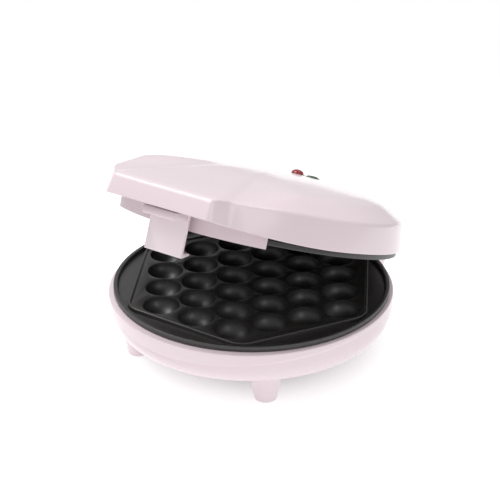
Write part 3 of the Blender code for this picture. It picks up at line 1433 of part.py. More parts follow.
def place_frames():
    """Hang each piece on its frame, turn the lid open about the hinge and set the feet on the ground."""
    base_frame = bpy.data.objects.new("base_frame", None)
    lid_hinge = bpy.data.objects.new("lid_hinge", None)
    latch_pivot = bpy.data.objects.new("latch_pivot", None)
    for frame in (base_frame, lid_hinge, latch_pivot):
        bpy.context.collection.objects.link(frame)
    lid_hinge.parent = base_frame
    lid_hinge.location = HINGE
    lid_hinge.rotation_euler = (-OPEN_ANGLE, 0, 0)
    latch_pivot.parent = lid_hinge
    latch_pivot.location = LATCH_PIVOT - HINGE
    origins = {base_frame: Vector(), lid_hinge: HINGE, latch_pivot: LATCH_PIVOT}
    for item in list(bpy.data.objects):
        if item.type != "MESH":
            continue
        frame = base_frame
        if item.name.startswith(LID_PIECES):
            frame = lid_hinge
        if item.name == "latch":
            frame = latch_pivot
        item.parent = frame
        item.location = -origins[frame]
    bpy.context.view_layer.update()
    low_y = math.inf
    high_y = -math.inf
    for item in bpy.data.objects:
        if item.type == "MESH":
            reach = [(item.matrix_world @ vertex.co).y for vertex in item.data.vertices]
            low_y = min(low_y, min(reach))
            high_y = max(high_y, max(reach))
    base_frame.location = (0, -(low_y + high_y) / 2, FOOT_HEIGHT)


def main():
    """Build every piece."""
    clear_scene()
    build_plate("lower_plate", lower_level, False, CUP_SIDES, CUP_BANDS)
    build_plate("upper_plate", upper_level, True, UPPER_CUP_SIDES, UPPER_CUP_BANDS)
    for side, level in (("lower", lower_level), ("upper", upper_level)):
        build_element(side + "_element", level)
        build_retainer(side + "_element_retainer", level)
        build_shield(side + "_heat_shield", level)
        build_thermostat(side + "_thermostat", level)
        build_fuse(side + "_thermal_fuse", level)
        build_wires(side, level, TERMINAL_DEPTH - TERMINAL_HEIGHT / 2)
        build_terminal_block(side + "_terminal_block", level)
    stack = ring_places(STUD_REACH, STUD_ANGLES)
    seat = -BASE_DEPTH + COUNTERBORE_DEPTH - GAP
    tip = lower_level(STUD_END - SCREW_BITE)
    build_screws("lower_plate_screw", stack, seat - HEAD_HEIGHT, seat, tip)
    seat = upper_level(STACK_END)
    build_screws("upper_heater_screw", stack, seat + HEAD_HEIGHT, seat, upper_level(STUD_END - SCREW_BITE))
    build_plate_screws()
    build_lower_housing()
    build_foot_pads()
    build_gland()
    build_hinge()
    build_upper_housing()
    build_nose_cover()
    build_nose_screws()
    build_latch()
    build_latch_pin()
    build_latch_spring()
    build_lamps()
    place_frames()


main()
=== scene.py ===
"""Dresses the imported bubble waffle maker: mouldings, plates, materials, light and camera."""

import json
import math

import bmesh
import bpy
from mathutils import Matrix, Vector, geometry


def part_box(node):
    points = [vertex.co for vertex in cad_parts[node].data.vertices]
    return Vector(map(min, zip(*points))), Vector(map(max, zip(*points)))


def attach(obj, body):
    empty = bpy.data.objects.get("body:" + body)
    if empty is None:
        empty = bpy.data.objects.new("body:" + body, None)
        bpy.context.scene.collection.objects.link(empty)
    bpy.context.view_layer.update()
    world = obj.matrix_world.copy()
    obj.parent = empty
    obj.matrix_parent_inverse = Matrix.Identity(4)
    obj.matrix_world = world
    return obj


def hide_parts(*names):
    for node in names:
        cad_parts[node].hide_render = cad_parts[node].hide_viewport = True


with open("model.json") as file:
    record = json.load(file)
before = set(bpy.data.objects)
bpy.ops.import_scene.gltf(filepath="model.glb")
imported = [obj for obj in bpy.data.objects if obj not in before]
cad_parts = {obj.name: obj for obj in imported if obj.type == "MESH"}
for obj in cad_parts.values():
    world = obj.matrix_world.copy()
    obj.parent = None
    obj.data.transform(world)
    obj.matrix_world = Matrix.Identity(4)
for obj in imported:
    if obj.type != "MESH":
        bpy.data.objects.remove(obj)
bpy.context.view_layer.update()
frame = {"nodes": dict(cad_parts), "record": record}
NODES = frame["nodes"]

# Sizes in metres, as in the part unless a heading says otherwise
GAP = 0.0003
OVERRUN = 0.004
PLATE_RADIUS = 0.095
PLATE_GAP = 0.0008
FLANGE_HEIGHT = 0.0037
SLAB_RADIUS = 0.092
SLAB_DEPTH = 0.0075
FLOOR_DEPTH = 0.003
FIELD_DEPTH = 0.0015
RIDGE_REACH = 0.0790
RIDGE_CORNER = 0.0135
CUP_ROWS = (3, 4, 5, 6, 5, 4, 3)
CUP_SPACING = 0.02917
ROW_SPACING = 0.02127
CUP_RADIUS = 0.01235
CUP_DEPTH = 0.011
CUP_SHEET = 0.0016
CUP_END = FIELD_DEPTH + CUP_DEPTH + CUP_SHEET
BULGE_RADIUS = 0.0122
BULGE_END_RADIUS = 0.0070
STUD_REACH = 0.0755
STUD_ANGLES = tuple(math.radians(angle) for angle in (60, 120, 240, 300))
SHANK_RADIUS = 0.0014
HEAD_RADIUS = 0.0032
HEAD_HEIGHT = 0.0018
BASE_RADIUS = 0.0975
BASE_WALL = 0.0022
BASE_DEPTH = 0.0295
BOWL_ROUND = 0.0160
BOWL_FULLNESS = 2.5
BAND_PROUD = 0.0026
BAND_SIDE_DEPTH = 0.0030
BAND_FRONT_DEPTH = 0.0096
BAND_SPREAD = math.radians(84)
BAND_UNDERCUT = 0.0032
BAND_SLOPE = 0.0008
COUNTERBORE_RADIUS = 0.0044
COUNTERBORE_DEPTH = 0.0030
FOOT_SIDE = 0.0530
FOOT_FRONT = 0.0606
FOOT_TOP_RADIUS = 0.0108
FOOT_END_RADIUS = 0.0072
FOOT_HEIGHT = 0.0470
PAD_RADIUS = 0.0050
PAD_SOCKET = 0.0016
PAD_PROUD = 0.0006
HINGE = Vector((0, 0.1010, -0.0050))
HINGE_EYE = 0.0055
HINGE_PIN = 0.0020
PIN_HEAD_RADIUS = 0.0036
KNUCKLE_INNER = 0.0235
KNUCKLE_WIDTH = 0.0115
TOWER_WIDTH = 0.0087
SLOT_MARGIN = 0.0025
TAIL_HALF_WIDTH = 0.0480
TAIL_BACK = 0.1070
TAIL_BLEND = 0.004
TAIL_CORNER = 0.010
TAIL_SPREAD = math.radians(70)
OPEN_ANGLE = math.radians(21.4)
GLAND_DROP = 0.0180
GLAND_RADIUS = 0.0050
GLAND_BORE = 0.0034
GLAND_FLANGE = 0.0075
GLAND_FLANGE_LENGTH = 0.0020
GLAND_LENGTH = 0.0160
LID_RADIUS = 0.0973
LID_WALL = 0.0022
LID_SIDE_EDGE = 0.0048
LID_FRONT_EDGE = 0.0117
LID_EDGE_START = 0.0400
LID_DRAFT = 0.0024
CREASE_HEIGHT = 0.0240
CREASE_RISE = 0.0010
CREASE_RISE_FRONT = 0.0850
CREASE_RISE_REACH = 0.0400
SHOULDER_INSET = 0.0160
SHOULDER_WIDTH = 0.0050
SHOULDER_HEIGHT = 0.0312
SHOULDER_TOP = 0.0333
SHOULDER_FRONT_INSET = 0.0046
SHOULDER_FRONT_WIDTH = 0.0036
SHOULDER_TOP_FRONT_RISE = 0.0018
CROWN_EDGE_HEIGHT = 0.0356
CROWN_EDGE_FRONT_DROP = 0.0040
CROWN_HEIGHT = 0.0378
CROWN_TOP = 0.0386
CROWN_EDGE_SHARE = 0.66
CROWN_SHARE = 0.33
NOSE_FRONT = 0.1250
NOSE_HALF_WIDTH = 0.0420
NOSE_FLARE_SHARE = 0.15
NOSE_CORNER = 0.012
NOSE_BLEND = 0.006
NOSE_SPREAD = math.radians(60)
NOSE_SIDE_MOST = 0.2000
NOSE_START = 0.0720
NOSE_FULL = 0.1140
CHIN_REACH = 0.0300
CHIN_SHAPE = 7
LID_POST_REACH = 0.0862
LID_POST_ANGLES = tuple(math.radians(angle) for angle in (67, 113, 247, 293))
COUNTERSINK_RADIUS = 0.0034
COUNTERSINK_DEPTH = 0.0018
SKIRT_RADIUS = 0.0985
SKIRT_WALL = 0.0022
SKIRT_SPREAD = math.radians(35)
SKIRT_LOW = -0.0012
COVER_PLAY = 0.0009
NOSE_FLOOR_LOW = LID_FRONT_EDGE + 0.0010
NOSE_FLOOR_TOP = NOSE_FLOOR_LOW + 0.0020
NOSE_POST_SIDE = 0.0370
NOSE_POST_FRONT = 0.1060
LATCH_PIVOT = Vector((0, -0.1065, 0.0172))
LATCH_WIDTH = 0.0286
LATCH_SHEET = 0.0026
LATCH_BARREL = 0.0032
LATCH_PIN = 0.0015
LATCH_HOOK_BITE = 0.0018
LATCH_HOOK_HEIGHT = 0.0030
LATCH_HOOK_PLAY = 0.0006
LATCH_HOOK_TIP = 0.0012
TAB_WIDTH = 0.0256
TAB_FRONT = 0.1198
TAB_SWING = 0.0012
TAB_HEIGHT = 0.0052
TAB_DROP = 0.0004
LATCH_EAR_SHEET = 0.0024
LATCH_EAR_HALF = 0.0036
LATCH_WINDOW_MARGIN = 0.0012
LAMP_BACK = 0.0470
LAMP_SIDE = 0.0062
LENS_RADIUS = 0.0046
LENS_FLANGE = 0.0056
LENS_FLANGE_SHEET = 0.0008
LENS_DOME = 0.0030
LENS_LOW_DOME = 0.0012
LENS_SOCKET = 0.0050
LENS_RISE = 0.0005
LENS_SEAT = CROWN_EDGE_HEIGHT

# Sizes that the scene has differently from the part or for itself
SHOULDER_FRONT_RISE = 0.0009
BOWL_TURN = 0.0260
FOOT_ROOT = 0.0012
COUNTERBORE_TRIM = 0.0012
RIM_WIDTHS = (0.0028, 0.0034, 0.0040)
RIM_SOFTNESS = (0, 0, 0.0004, 0.0008, 0.0006, 0.0004, 0)
RIDGE_LINE = (
    (0.0012, FLOOR_DEPTH),
    (0.0011, FLOOR_DEPTH - 0.0005),
    (0.0009, 0.0009),
    (0.0007, 0.0005),
    (0.0003, 0.0003),
    (-0.0003, 0.0003),
    (-0.0007, 0.0005),
    (-0.0009, 0.0008),
    (-0.0011, FIELD_DEPTH - 0.0003),
    (-0.0014, FIELD_DEPTH),
)
CUP_LIP = 0.0004
CUP_LIP_OUT_SHARE = 0.55
CUP_LIP_IN_SHARE = 0.1
CUP_LIP_DROP_SHARE = 0.2
BAND_SOFTNESS = (0, 0.0004, 0.0009, 0.0006, 0.0006, 0)
BOTTOM_SHARES = (0.80, 0.45)
WELL_SHARES = (0.35, 0.65, 0.88, 1.0)
FOOT_EDGE = 0.0004
FOOT_SOFTNESS = (0, 0, 0.0014, 0.0010, 0.0002, 0, 0)
CREASE_TUCK = 0.0004
CREASE_SOFTNESS = (0, 0.0022, 0)
LID_LIP_SOFTNESS = (0, 0.0004, 0.0008, 0)
COVER_EDGE = 0.0004
LATCH_EDGE = 0.0007
NOTCH_HALF = Vector((0.005, 0.0045, 0.0045))
LENS_SOFTNESS = (0, 0.0003, 0, 0, 0.0004, 0)
HEAD_ROUND_SHARE = 0.35
HEAD_FLAT_SHARE = 0.75
THREAD_TURNS = 9
THREAD_ROOT_SHARE = 0.80
THREAD_START_SHARE = 0.1
THREAD_LENGTH_SHARE = 0.88
RECESS_DEPTH = 0.0010
RECESS_ARMS = ((0.00045, 0.0019), (0.0019, 0.00045))
STUD_END = -0.0209
SCREW_BITE = 0.0095
NOSE_SCREW_BITE = 0.0092
PAD_SOFTNESS = (0, 0.0004, 0.0002, 0)
GLAND_SOFTNESS = (0, 0, 0.0003, 0.0006, 0.0005, 0)

# How finely round shapes are divided, and the angle in degrees past which an edge stays sharp
PLATE_SIDES = 180
FOOT_SIDES = 64
FINE_SIDES = 48
ROUND_SIDES = 40
BORE_SIDES = 32
HOLE_SIDES = 24
BULGE_SIDES = 20
CUP_BANDS = 9
RIDGE_STEPS = 12
BOWL_STEPS = 14
LUG_STEPS = 24
EAR_STEPS = 16
ARC_STEPS = 60
DOME_STEPS = 12
PROFILE_STEPS = 4
CREASE_STEPS = 6
TOP_STEPS = 7
SHARP = 35
PLATE_SHARP = 40
CASE_SHARP = 38
LID_SHARP = 50
SCREW_SHARP = 30
CORNER_SHARE_MOST = 0.49
WELD_DISTANCE = 1e-7
OUTLINE_SPANS = (
    (0, 12, 12), (12, 28, 48), (28, 56, 26), (56, 146, 50), (146, 166, 44), (166, 180, 10)
)

# How the photograph was taken, fitted to the plate's rim and cups
CAMERA_TURN = 0.604
CAMERA_RISE = 0.472
CAMERA_DISTANCE = 1.0075
FOCAL_PIXELS = 1461.9
RIM_PIXEL = (251.63, 278.67)
PHOTO_SIZE = 500

# Blender's camera, in millimetres and metres
SENSOR_WIDTH = 36
CAMERA_FAR = 50

# Light and floor. Each lamp has a name, place, target, size and power in watts
LAMPS = (
    ("key", (-0.8, -0.3, 1.7), (0, 0, 0.06), (1.6, 1.2), 27),
    ("fill", (1.6, -0.6, 0.9), (0, 0, 0.06), (0.8, 0.8), 3),
    ("back", (0.3, 1.2, 1.9), (0, 0, 0.08), (1.0, 0.6), 4),
)
WORLD_STRENGTH = 0.54
FLOOR_REACH = 0.6
# The floor's glow holds a painted contact shade: it rises from the first glow strength within the
# first reach of the floor's middle to the second beyond the second reach
SHADE_REACH = (0.030, 0.105)
SHADE_GLOW = (0.10, 0.74)

PLATE_LOW, PLATE_HIGH = (Vector(corner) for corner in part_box("lower_plate"))
SHIFT = Vector(((PLATE_LOW.x + PLATE_HIGH.x) / 2, (PLATE_LOW.y + PLATE_HIGH.y) / 2, PLATE_HIGH.z))
BASE_PLACE = Matrix.Translation(SHIFT)
LID_PLACE = BASE_PLACE @ Matrix.Translation(HINGE) @ Matrix.Rotation(-OPEN_ANGLE, 4, "X")
LID_PLACE = LID_PLACE @ Matrix.Translation(-HINGE)


# ---------------------------------------------------------------- materials
def new_material(name, colour, roughness, metallic=0.0):
    material = bpy.data.materials.new(name)
    material.use_nodes = True
    shader = material.node_tree.nodes["Principled BSDF"]
    shader.inputs["Base Color"].default_value = (*colour, 1)
    shader.inputs["Roughness"].default_value = roughness
    shader.inputs["Metallic"].default_value = metallic
    material.diffuse_color = (*colour, 1)
    return material, material.node_tree, shader


def add_node(tree, kind, **values):
    node = tree.nodes.new(kind)
    for name, value in values.items():
        if name in node.inputs:
            node.inputs[name].default_value = value
        else:
            setattr(node, name, value)
    return node


def object_noise(tree, scale, detail=4.0, stretch=None):
    place = add_node(tree, "ShaderNodeTexCoord")
    source = place.outputs["Object"]
    if stretch:
        mapping = add_node(tree, "ShaderNodeMapping")
        mapping.inputs["Scale"].default_value = stretch
        tree.links.new(source, mapping.inputs["Vector"])
        source = mapping.outputs["Vector"]
    noise = add_node(tree, "ShaderNodeTexNoise", Scale=scale, Detail=detail)
    tree.links.new(source, noise.inputs["Vector"])
    return noise


def object_wave(tree, scale, distortion):
    place = add_node(tree, "ShaderNodeTexCoord")
    wave = add_node(tree, "ShaderNodeTexWave", Scale=scale, Distortion=distortion)
    tree.links.new(place.outputs["Object"], wave.inputs["Vector"])
    return wave


def vary_colour(tree, shader, noise, dark, light, low=0.35, high=0.65):
    ramp = add_node(tree, "ShaderNodeValToRGB")
    ramp.color_ramp.elements[0].position = low
    ramp.color_ramp.elements[1].position = high
    ramp.color_ramp.elements[0].color = (*dark, 1)
    ramp.color_ramp.elements[1].color = (*light, 1)
    tree.links.new(noise.outputs["Fac"], ramp.inputs["Fac"])
    tree.links.new(ramp.outputs["Color"], shader.inputs["Base Color"])


def vary_roughness(tree, shader, noise, low, high):
    spread = add_node(tree, "ShaderNodeMapRange")
    spread.inputs["To Min"].default_value = low
    spread.inputs["To Max"].default_value = high
    tree.links.new(noise.outputs["Fac"], spread.inputs["Value"])
    tree.links.new(spread.outputs["Result"], shader.inputs["Roughness"])


def add_bump(tree, shader, noise, strength, distance):
    bump = add_node(tree, "ShaderNodeBump", Strength=strength, Distance=distance)
    tree.links.new(noise.outputs["Fac"], bump.inputs["Height"])
    tree.links.new(bump.outputs["Normal"], shader.inputs["Normal"])


def make_pink():
    """Glossy pale pink plastic with a faint moulding ripple."""
    material, tree, shader = new_material("pink_plastic", (0.79, 0.675, 0.715), 0.22)
    cloud = object_noise(tree, 9.0, 2.0)
    vary_colour(tree, shader, cloud, (0.775, 0.660, 0.700), (0.805, 0.690, 0.730))
    fine = object_noise(tree, 260.0, 3.0)
    vary_roughness(tree, shader, fine, 0.16, 0.27)
    add_bump(tree, shader, object_noise(tree, 900.0, 2.0), 0.04, 0.0002)
    shader.inputs["Specular IOR Level"].default_value = 0.5
    shader.inputs["Coat Weight"].default_value = 0.25
    shader.inputs["Coat Roughness"].default_value = 0.08
    return material


def make_non_stick():
    """Dark grey non-stick coat on a casting, with fine grain and faint specks."""
    material, tree, shader = new_material("non_stick", (0.022, 0.021, 0.021), 0.36)
    specks = object_noise(tree, 1400.0, 5.0)
    vary_colour(tree, shader, specks, (0.014, 0.013, 0.013), (0.040, 0.037, 0.035), 0.40, 0.72)
    vary_roughness(tree, shader, object_noise(tree, 160.0, 4.0), 0.30, 0.48)
    add_bump(tree, shader, object_noise(tree, 2200.0, 3.0), 0.15, 0.0002)
    shader.inputs["Specular IOR Level"].default_value = 0.8
    return material


def make_steel():
    material, tree, shader = new_material("bright_steel", (0.62, 0.61, 0.60), 0.3, 1.0)
    brushed = object_noise(tree, 600.0, 3.0, (1.0, 1.0, 12.0))
    vary_colour(tree, shader, brushed, (0.52, 0.51, 0.50), (0.72, 0.71, 0.70))
    vary_roughness(tree, shader, brushed, 0.22, 0.42)
    add_bump(tree, shader, brushed, 0.05, 0.0001)
    return material


def make_sheet():
    material, tree, shader = new_material("rolled_aluminium", (0.80, 0.80, 0.81), 0.35, 1.0)
    rolled = object_noise(tree, 300.0, 4.0, (1.0, 14.0, 1.0))
    vary_colour(tree, shader, rolled, (0.70, 0.70, 0.71), (0.86, 0.86, 0.87))
    vary_roughness(tree, shader, rolled, 0.28, 0.50)
    return material


def make_grainy(name, dark, light, roughness, scale, bump):
    material, tree, shader = new_material(name, light, roughness)
    grain = object_noise(tree, scale, 4.0)
    vary_colour(tree, shader, grain, dark, light)
    vary_roughness(tree, shader, grain, roughness - 0.08, roughness + 0.08)
    add_bump(tree, shader, grain, bump, 0.0003)
    return material


def make_sleeve():
    material, tree, shader = new_material("woven_sleeve", (0.78, 0.76, 0.70), 0.85)
    wave = object_wave(tree, 900.0, 1.0)
    vary_colour(tree, shader, wave, (0.60, 0.58, 0.52), (0.82, 0.80, 0.74), 0.2, 0.8)
    add_bump(tree, shader, wave, 0.4, 0.0003)
    return material


def make_lens(name, dark, light, transmission):
    """A clear coloured lens with faint ribs inside."""
    material, tree, shader = new_material(name, light, 0.08)
    wave = object_wave(tree, 420.0, 0.6)
    vary_colour(tree, shader, wave, dark, light, 0.1, 0.7)
    add_bump(tree, shader, wave, 0.08, 0.0003)
    shader.inputs["Transmission Weight"].default_value = transmission
    shader.inputs["Coat Weight"].default_value = 0.6
    shader.inputs["Coat Roughness"].default_value = 0.03
    return material


PINK = make_pink()
NON_STICK = make_non_stick()
STEEL = make_steel()
SHEET = make_sheet()
CERAMIC = make_grainy("white_ceramic", (0.74, 0.72, 0.67), (0.84, 0.82, 0.78), 0.55, 700.0, 0.2)
GREY_RUBBER = make_grainy("grey_rubber", (0.24, 0.22, 0.23), (0.34, 0.31, 0.32), 0.78, 1200.0, 0.35)
BLACK_RUBBER = make_grainy(
    "black_rubber", (0.012, 0.012, 0.013), (0.035, 0.034, 0.035), 0.62, 1100.0, 0.3
)
SLEEVE = make_sleeve()
RED_LENS = make_lens("red_lens", (0.16, 0.003, 0.008), (0.42, 0.010, 0.022), 0.15)
GREEN_LENS = make_lens("green_lens", (0.004, 0.028, 0.012), (0.015, 0.085, 0.035), 0.15)
LAMP_GLASS = make_lens("lamp_glass", (0.70, 0.68, 0.62), (0.92, 0.90, 0.84), 0.85)

NODE_MATERIALS = {
    "pink_plastic": PINK,
    "non_stick": NON_STICK,
    "steel": STEEL,
    "aluminium_sheet": SHEET,
    "white_ceramic": CERAMIC,
    "woven_sleeve": SLEEVE,
    "grey_rubber": GREY_RUBBER,
    "black_rubber": BLACK_RUBBER,
    "red_lens": RED_LENS,
    "green_lens": GREEN_LENS,
    "lamp_glass": LAMP_GLASS,
}


def dress_nodes():
    """Give every CAD node the material of its slot."""
    for entry in frame["record"]["subparts"]:
        item = NODES[entry["node"]]
        material = NODE_MATERIALS[entry["material_slot"]]
        if not item.material_slots:
            item.data.materials.append(material)
        for slot in item.material_slots:
            slot.material = material


# ---------------------------------------------------------------- mesh helpers
def new_object(name, data):
    item = bpy.data.objects.new(name, data)
    bpy.context.collection.objects.link(item)
    return item


def finish_piece(name, bm, material, place, sharp=SHARP, weld=True):
    """Turn a bmesh modelled with the case shut into a piece standing where its body rests."""
    if weld:
        bmesh.ops.remove_doubles(bm, verts=bm.verts, dist=WELD_DISTANCE)
    bmesh.ops.recalc_face_normals(bm, faces=bm.faces)
    mesh = bpy.data.meshes.new(name)
    bm.to_mesh(mesh)
    bm.free()
    mesh.transform(place)
    item = new_object(name, mesh)
    mesh.materials.append(material)
    shade(item, sharp)
    return item


def shade(item, sharp):
    item.data.shade_smooth()
    item.data.set_sharp_from_angle(angle=math.radians(sharp))


def keep_shape(item):
    """Put what a piece's modifiers make in place of its mesh."""
    bpy.context.view_layer.update()
    depsgraph = bpy.context.evaluated_depsgraph_get()
    mesh = bpy.data.meshes.new_from_object(item.evaluated_get(depsgraph))
    item.modifiers.clear()
    item.data = mesh


def combine(target, bm, operation, sharp=SHARP):
    """Join a bmesh to a piece or cut it out."""
    tool = finish_piece("tool", bm, target.data.materials[0], Matrix(), weld=False)
    modifier = target.modifiers.new("shape", "BOOLEAN")
    modifier.operation = operation
    modifier.solver = "EXACT"
    modifier.object = tool
    keep_shape(target)
    bpy.data.objects.remove(tool, do_unlink=True)
    shade(target, sharp)


def soften(item, width):
    """Round the edges of a piece and keep the result."""
    modifier = item.modifiers.new("edges", "BEVEL")
    modifier.width = width
    modifier.segments = 3
    modifier.limit_method = "ANGLE"
    modifier.angle_limit = math.radians(SHARP)
    modifier.harden_normals = True
    keep_shape(item)


def skin(bm, first, second):
    count = max(len(first), len(second))
    for index in range(count):
        following = (index + 1) % count
        corners = [first[index % len(first)], first[following % len(first)]]
        corners += [second[following % len(second)], second[index % len(second)]]
        bm.faces.new(list(dict.fromkeys(corners)))


def skin_all(bm, loops):
    for first, second in zip(loops, loops[1:]):
        skin(bm, first, second)


def add_rings(bm, rings, closed=False):
    loops = [[bm.verts.new(point) for point in ring] for ring in rings]
    skin_all(bm, loops)
    if closed:
        skin(bm, loops[-1], loops[0])
    else:
        for end in (loops[0], loops[-1]):
            if len(end) > 2:
                bm.faces.new(end)


def circle(radius, height, sides, centre=(0, 0)):
    if radius == 0:
        return [(centre[0], centre[1], height)]
    points = []
    for step in range(sides):
        turn = math.tau * step / sides
        x = centre[0] + radius * math.cos(turn)
        points.append((x, centre[1] + radius * math.sin(turn), height))
    return points


def add_turned(bm, profile, sides, centre):
    add_rings(bm, [circle(radius, height, sides, centre) for radius, height in profile])


def add_turned_sideways(bm, stations, side, sides, axis):
    rings = []
    for distance, radius in stations:
        ring = circle(radius, 0, sides)
        rings.append([axis + Vector((side * distance, y, z)) for y, z, _ in ring])
    add_rings(bm, rings)


def add_block(bm, low, high):
    rings = []
    for height in (low[2], high[2]):
        corners = [(low[0], low[1]), (high[0], low[1]), (high[0], high[1]), (low[0], high[1])]
        rings.append([(x, y, height) for x, y in corners])
    add_rings(bm, rings)


def soft_profile(points, softness, steps=5):
    """Round the corners of a line, each by its own softness, with a fixed count of points."""
    points = [Vector(point) for point in points]
    line = []
    for index, point in enumerate(points):
        reach = softness[index]
        if reach == 0 or index in (0, len(points) - 1):
            line.append(point)
            continue
        before = points[index - 1] - point
        after = points[index + 1] - point
        start = point + before.normalized() * min(reach, before.length * CORNER_SHARE_MOST)
        end = point + after.normalized() * min(reach, after.length * CORNER_SHARE_MOST)
        for step in range(steps + 1):
            t = step / steps
            line.append(start * (1 - t) ** 2 + point * 2 * t * (1 - t) + end * t * t)
    return line


def spline(points, steps):
    """A smooth line through points, without its first point."""
    line = []
    for index in range(len(points) - 1):
        here = points[index]
        there = points[index + 1]
        before = points[index - 1] if index else here * 2 - there
        after = points[index + 2] if index + 2 < len(points) else there * 2 - here
        span = (there - here).length
        leave = (there - before) / max((there - before).length, 1e-9) * span
        arrive = (after - here) / max((after - here).length, 1e-9) * span
        for step in range(1, steps + 1):
            t = step / steps
            line.append(
                here * (2 * t**3 - 3 * t**2 + 1)
                + leave * (t**3 - 2 * t**2 + t)
                + there * (-2 * t**3 + 3 * t**2)
                + arrive * (t**3 - t**2)
            )
    return line


def turned_profile(points, softness):
    line = soft_profile([(radius, height, 0) for radius, height in points], softness, PROFILE_STEPS)
    return [(max(point.x, 0), point.y) for point in line]


def fill_sheet(bm, border, holes):
    verts = []
    owners = []
    edges = []
    for number, loop in enumerate([border] + holes):
        start = len(verts)
        count = len(loop)
        verts += loop
        owners += [number] * count
        edges += [(start + step, start + (step + 1) % count) for step in range(count)]
    flat = [Vector((vert.co.x, vert.co.y)) for vert in verts]
    result = geometry.delaunay_2d_cdt(flat, edges, [], 1, WELD_DISTANCE)
    for face in result[2]:
        corners = [result[3][index][0] for index in face]
        hole = owners[corners[0]]
        if hole and all(owners[corner] == hole for corner in corners):
            continue
        bm.faces.new([verts[corner] for corner in corners])


def add_sheet(bm, outline, holes, low, high):
    levels = []
    for height in (low, high):
        border = [bm.verts.new((x, y, height)) for x, y in outline]
        loops = [[bm.verts.new((x, y, height)) for x, y in hole] for hole in holes]
        fill_sheet(bm, border, loops)
        levels.append([border] + loops)
    for lower, upper in zip(*levels):
        skin(bm, lower, upper)


def hole_points(radius, sides, centre):
    return [(x, y) for x, y, _ in circle(radius, 0, sides, centre)]


def ring_places(reach, angles):
    return [(reach * math.sin(angle), -reach * math.cos(angle)) for angle in angles]


def cup_centres():
    centres = []
    middle = (len(CUP_ROWS) - 1) / 2
    for row, count in enumerate(CUP_ROWS):
        for place in range(count):
            across = (place - (count - 1) / 2) * CUP_SPACING
            centres.append((across, (row - middle) * ROW_SPACING))
    return centres


# ---------------------------------------------------------------- outlines
def smooth_least(first, second, width):
    near = max(width - abs(first - second), 0)
    return min(first, second) - near * near / (4 * width)


def smooth_most(first, second, width):
    near = max(width - abs(first - second), 0)
    return max(first, second) + near * near / (4 * width)


def tail_reach(angle):
    to_back = TAIL_BACK / math.cos(angle)
    sideways = abs(math.sin(angle))
    if sideways * to_back < TAIL_HALF_WIDTH / 2:
        return to_back
    return smooth_least(to_back, TAIL_HALF_WIDTH / sideways, TAIL_CORNER)


def lid_reach(angle, radius):
    """Distance to the lid's outline: a circle drawn out to a chin, with a straight nose on it."""
    reach = radius + CHIN_REACH * ((1 + math.cos(angle)) / 2) ** CHIN_SHAPE
    if abs(angle) > NOSE_SPREAD:
        return reach
    sideways = abs(math.sin(angle)) + NOSE_FLARE_SHARE * math.cos(angle)
    side = (NOSE_HALF_WIDTH + NOSE_FLARE_SHARE * NOSE_FRONT) / sideways
    reach = smooth_most(reach, min(side, NOSE_SIDE_MOST), NOSE_BLEND)
    return smooth_least(NOSE_FRONT / math.cos(angle), reach, NOSE_CORNER)


def outline_angles():
    half = []
    for start, end, steps in OUTLINE_SPANS:
        half += [start + (end - start) * step / steps for step in range(steps)]
    right = [math.radians(angle) for angle in half] + [math.pi]
    return right + [-angle for angle in reversed(right[1:-1])]


def housing_outline(radius, nose, tail):
    points = []
    for angle in outline_angles():
        reach = lid_reach(angle, radius) if nose else radius
        if tail and math.cos(angle) < -math.cos(TAIL_SPREAD):
            reach = smooth_most(reach, tail_reach(math.pi - abs(angle)), TAIL_BLEND)
        points.append(Vector((reach * math.sin(angle), -reach * math.cos(angle))))
    return points


def inward(points):
    """The level direction square to an outline at each of its points, pointing in."""
    normals = []
    count = len(points)
    for index in range(count):
        along = (points[(index + 1) % count] - points[index - 1]).normalized()
        normals.append(Vector((-along.y, along.x)))
    return normals


def turned_slowly(normals, points, reach):
    """Directions averaged along an outline, so that lines drawn far in from it don't cross."""
    count = len(points)
    steps = [(points[(index + 1) % count] - points[index - 1]).length for index in range(count)]
    result = []
    for point in points:
        total = Vector((0, 0))
        for other, normal, step in zip(points, normals, steps):
            total += normal * step * max(1 - (other - point).length / reach, 0)
        result.append(total.normalized())
    return result


def raised(flat, height):
    return Vector((flat.x, flat.y, height))


def ease(value):
    value = min(max(value, 0), 1)
    return value * value * (3 - 2 * value)


def lid_edge_height(y):
    share = max(-y - LID_EDGE_START, 0) / (NOSE_FRONT - LID_EDGE_START)
    return LID_SIDE_EDGE + (LID_FRONT_EDGE - LID_SIDE_EDGE) * share * share


def crease_height(y):
    away = abs(y + CREASE_RISE_FRONT)
    return CREASE_HEIGHT + CREASE_RISE * ease(1 - away / CREASE_RISE_REACH)


# ---------------------------------------------------------------- plates
def ridge_points(offset, height):
    corner_reach = (RIDGE_REACH - RIDGE_CORNER) / math.cos(math.pi / 6)
    points = []
    for corner in range(6):
        facing = corner * math.pi / 3
        middle = Vector((math.cos(facing), math.sin(facing))) * corner_reach
        for step in range(RIDGE_STEPS):
            angle = facing + (step / (RIDGE_STEPS - 1) - 1 / 2) * math.pi / 3
            reach = RIDGE_CORNER + offset
            x = middle.x + reach * math.cos(angle)
            points.append((x, middle.y + reach * math.sin(angle), height))
    return points


